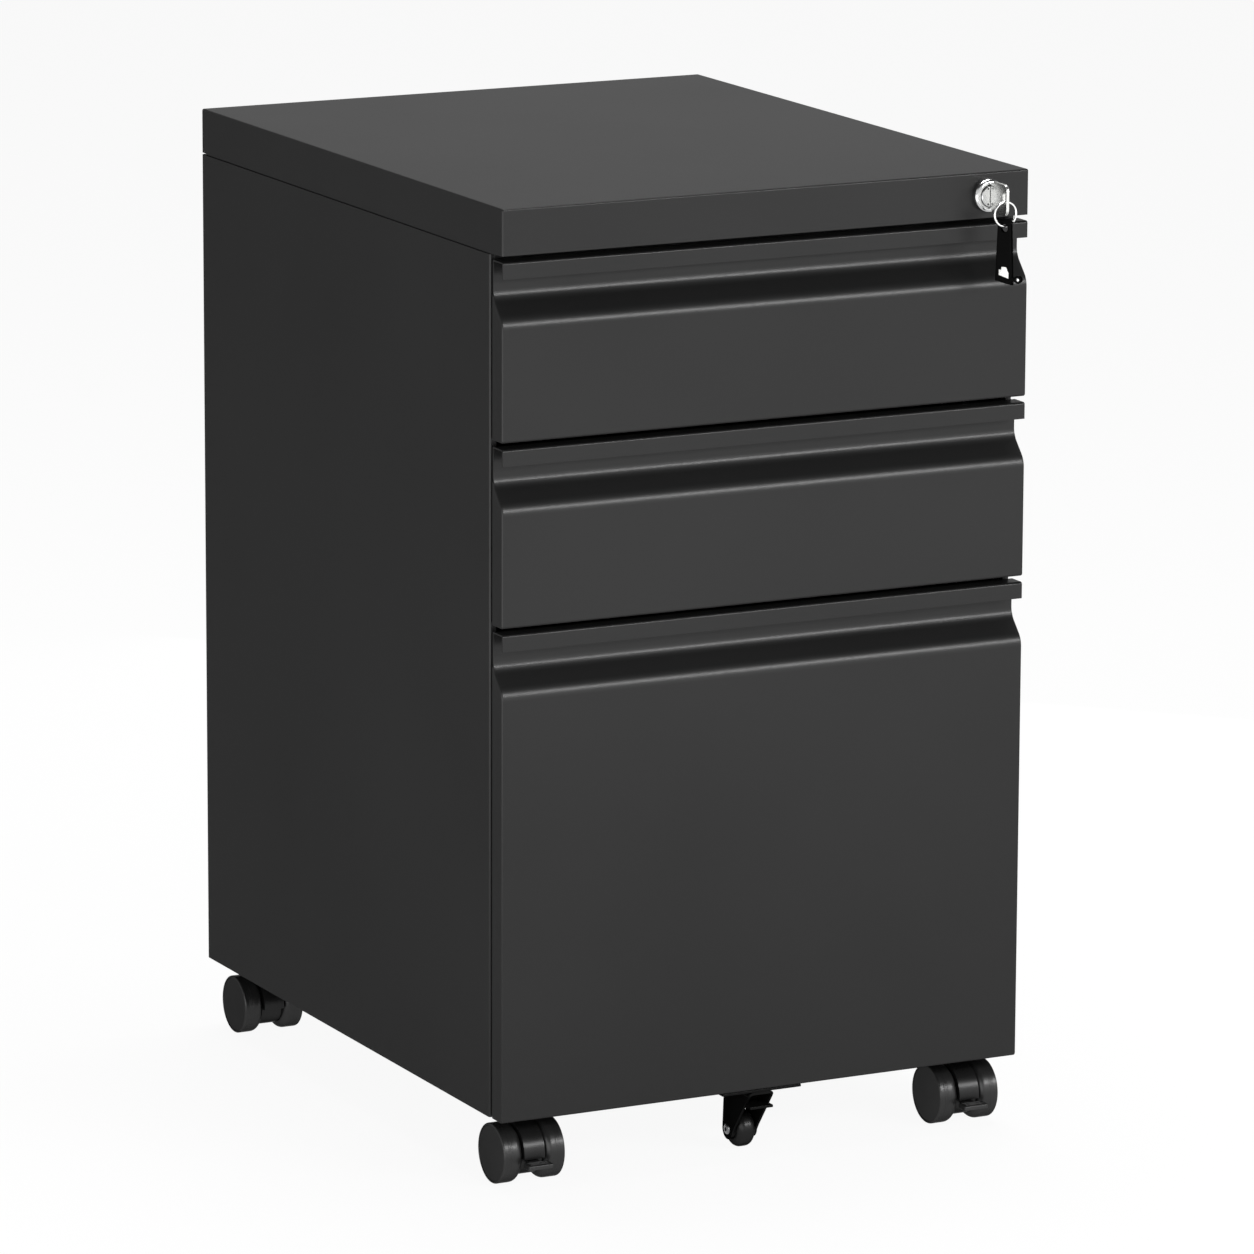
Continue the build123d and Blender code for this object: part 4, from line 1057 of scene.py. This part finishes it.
box_sheet, first_rivet, rivet_step = 0.8 * mm, 45 * mm, 112 * mm
rivet_sizes = {"Count": 4, "Step": rivet_step * Y, "Head": 3.2 * mm, "Rise": 1.1 * mm}
rivet_sizes["Turn"] = Vector((0, math.radians(90), 0))
for number in (1, 2, 3):
    box_low, box_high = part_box(f"drawer_box_{number}")
    slide_low, slide_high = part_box(f"slide_inner_{number}")
    row_z = (slide_low.z + slide_high.z) / 2
    for word, side in (("left", -1), ("right", 1)):
        wall_x = (box_low.x if side < 0 else box_high.x) - side * box_sheet
        start = Vector((wall_x, box_low.y + first_rivet, row_z))
        name = f"slide_rivets_{number}_{word}"
        heads_mesh = row_recipe.cook(bpy.data.meshes.new(name), zinc_small, Start=start, **rivet_sizes)
        rivets = object_of(name, heads_mesh, zinc_small)
        fitted(rivets, f"drawer_{number}", angle=60)
print("rivet rows", 6)

# %% [markdown]
# The solids that already have their true shape stay, and only take a finish: the sheet metal inside
# the body, the slides, the locking bar and the small hardware.
# %% Finishes for the solids that stay
stays = dict.fromkeys(["back_panel", "base_pan", "deck"], coat)
hardware = ["lid_screws", "lock_bar_guides", "lock_nut", "lock_cam", "caster_stems"]
stays |= dict.fromkeys(hardware, zinc_small)
stays |= dict.fromkeys(["slide_uprights", "lock_bar"], zinc_upright)
stays |= {"hanging_rails": zinc_long, "lock_plug": lock_chrome}
for number in (1, 2, 3):
    stays |= {f"drawer_box_{number}": coat_inside, f"drawer_catch_{number}": zinc_small}
    for part in ("outer", "middle", "inner"):
        stays[f"slide_{part}_{number}"] = zinc_long
for corner in corner_names:
    stays |= {f"caster_hood_{corner}": hood_plastic, f"caster_axle_{corner}": zinc_small}
for node, finish in stays.items():
    painted(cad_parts[node], finish)
print("solids with a finish", len(stays))

# %% [markdown]
# The cabinet stands on a wide floor in a white room. Both show white to the camera and in
# reflections. To all other light the room is dim and the floor is plain paint, so the dark steel
# keeps its tone, and the floor still takes a little of the cabinet's shadow. High up the room fades
# to a dark ceiling, which the slopes of the finger recesses look up at, and that keeps them dark.
# %% Floor and room
def seen_directly(tree):
    """1 where a ray comes from the camera, off a shiny face or through glass, and 0 elsewhere."""
    path = tree.nodes.new("ShaderNodeLightPath").outputs
    total = path["Is Camera Ray"]
    for ray in ("Is Glossy Ray", "Is Transmission Ray"):
        total = add_node(tree, "ShaderNodeMath", {"operation": "ADD", "use_clamp": True}, [total, path[ray]])
    return total


floor_finish = bpy.data.materials.new("studio_floor")
tree = emptied(floor_finish)
glow_share = 0.93
paint = add_node(tree, "ShaderNodeBsdfDiffuse", {}, {"Color": (*grey(0.8), 1)})
glow = add_node(tree, "ShaderNodeEmission")
share = add_node(tree, "ShaderNodeMath", {"operation": "MULTIPLY"}, [seen_directly(tree), glow_share])
mixed = add_node(tree, "ShaderNodeMixShader", {}, [share, paint, glow])
tree.links.new(mixed, tree.nodes.new("ShaderNodeOutputMaterial").inputs[0])

work = bmesh.new()
floor_place = Matrix.Translation((0, 0, cad_box[0][2]))
bmesh.ops.create_circle(work, cap_ends=True, segments=64, radius=24, matrix=floor_place)
floor = object_of("floor", mesh_of(work, "floor"), floor_finish)

world = bpy.data.worlds.new("studio")
bpy.context.scene.world = world
tree = emptied(world)
room = add_node(tree, "ShaderNodeBackground", {}, {"Color": (*grey(1), 1), "Strength": 0.18})
direction = tree.nodes.new("ShaderNodeTexCoord").outputs["Generated"]
height = add_node(tree, "ShaderNodeSeparateXYZ", {}, [direction], output=2)
ceiling = {"Value": height, "From Min": 0.40, "From Max": 0.62, "To Min": 1.0, "To Max": 0.05}
fade = add_node(tree, "ShaderNodeMapRange", {}, ceiling)
white = add_node(tree, "ShaderNodeBackground", {}, {"Color": (*grey(1), 1), "Strength": fade})
mixed = add_node(tree, "ShaderNodeMixShader", {}, [seen_directly(tree), room, white])
tree.links.new(mixed, tree.nodes.new("ShaderNodeOutputWorld").inputs[0])
print("floor at", round(cad_box[0][2], 4), "room nodes", len(tree.nodes))

# %% [markdown]
# The lamps are soft and plain: a long strip ahead on the right, which draws the bright lines along
# the bends, and a softbox overhead for the lid. Flat steel mostly shows what stands low beside it, so
# three glowing cards stand near the floor, two ahead and one behind.
# %% Lamps
def soft_lamp(name, place, width, height, watts, aim):
    light = bpy.data.lights.new(name, "AREA")
    light.shape = "RECTANGLE"
    light.size, light.size_y, light.energy = width, height, watts
    lamp = shown(name, light)
    lamp.location = place
    lamp.rotation_euler = (aim - place).to_track_quat("-Z", "Y").to_euler()
    lamp.visible_camera = False


def low_card(name, azimuth, watts):
    """A glowing card that stands on the floor near the cabinet and faces it."""
    away, card_width, card_height, card_z = 1.2, 1.6, 0.6, 0.31
    angle = math.radians(azimuth)
    aim = Vector((middle.x, middle.y, card_z))
    place = aim + away * Vector((math.sin(angle), -math.cos(angle), 0))
    soft_lamp(name, place, card_width, card_height, watts, aim)


middle = (Vector(cad_box[0]) + Vector(cad_box[1])) / 2
soft_lamp("front strip", middle + Vector((1.15, -2.3, 0.95)), 1.3, 0.30, 34, middle)
soft_lamp("overhead softbox", middle + Vector((0.3, 0.4, 2.6)), 1.6, 1.6, 82, middle)
low_card("card right of the front", 27, 2.2)
low_card("card left of the front", -48, 7.0)
low_card("card behind on the right", 135, 3.0)
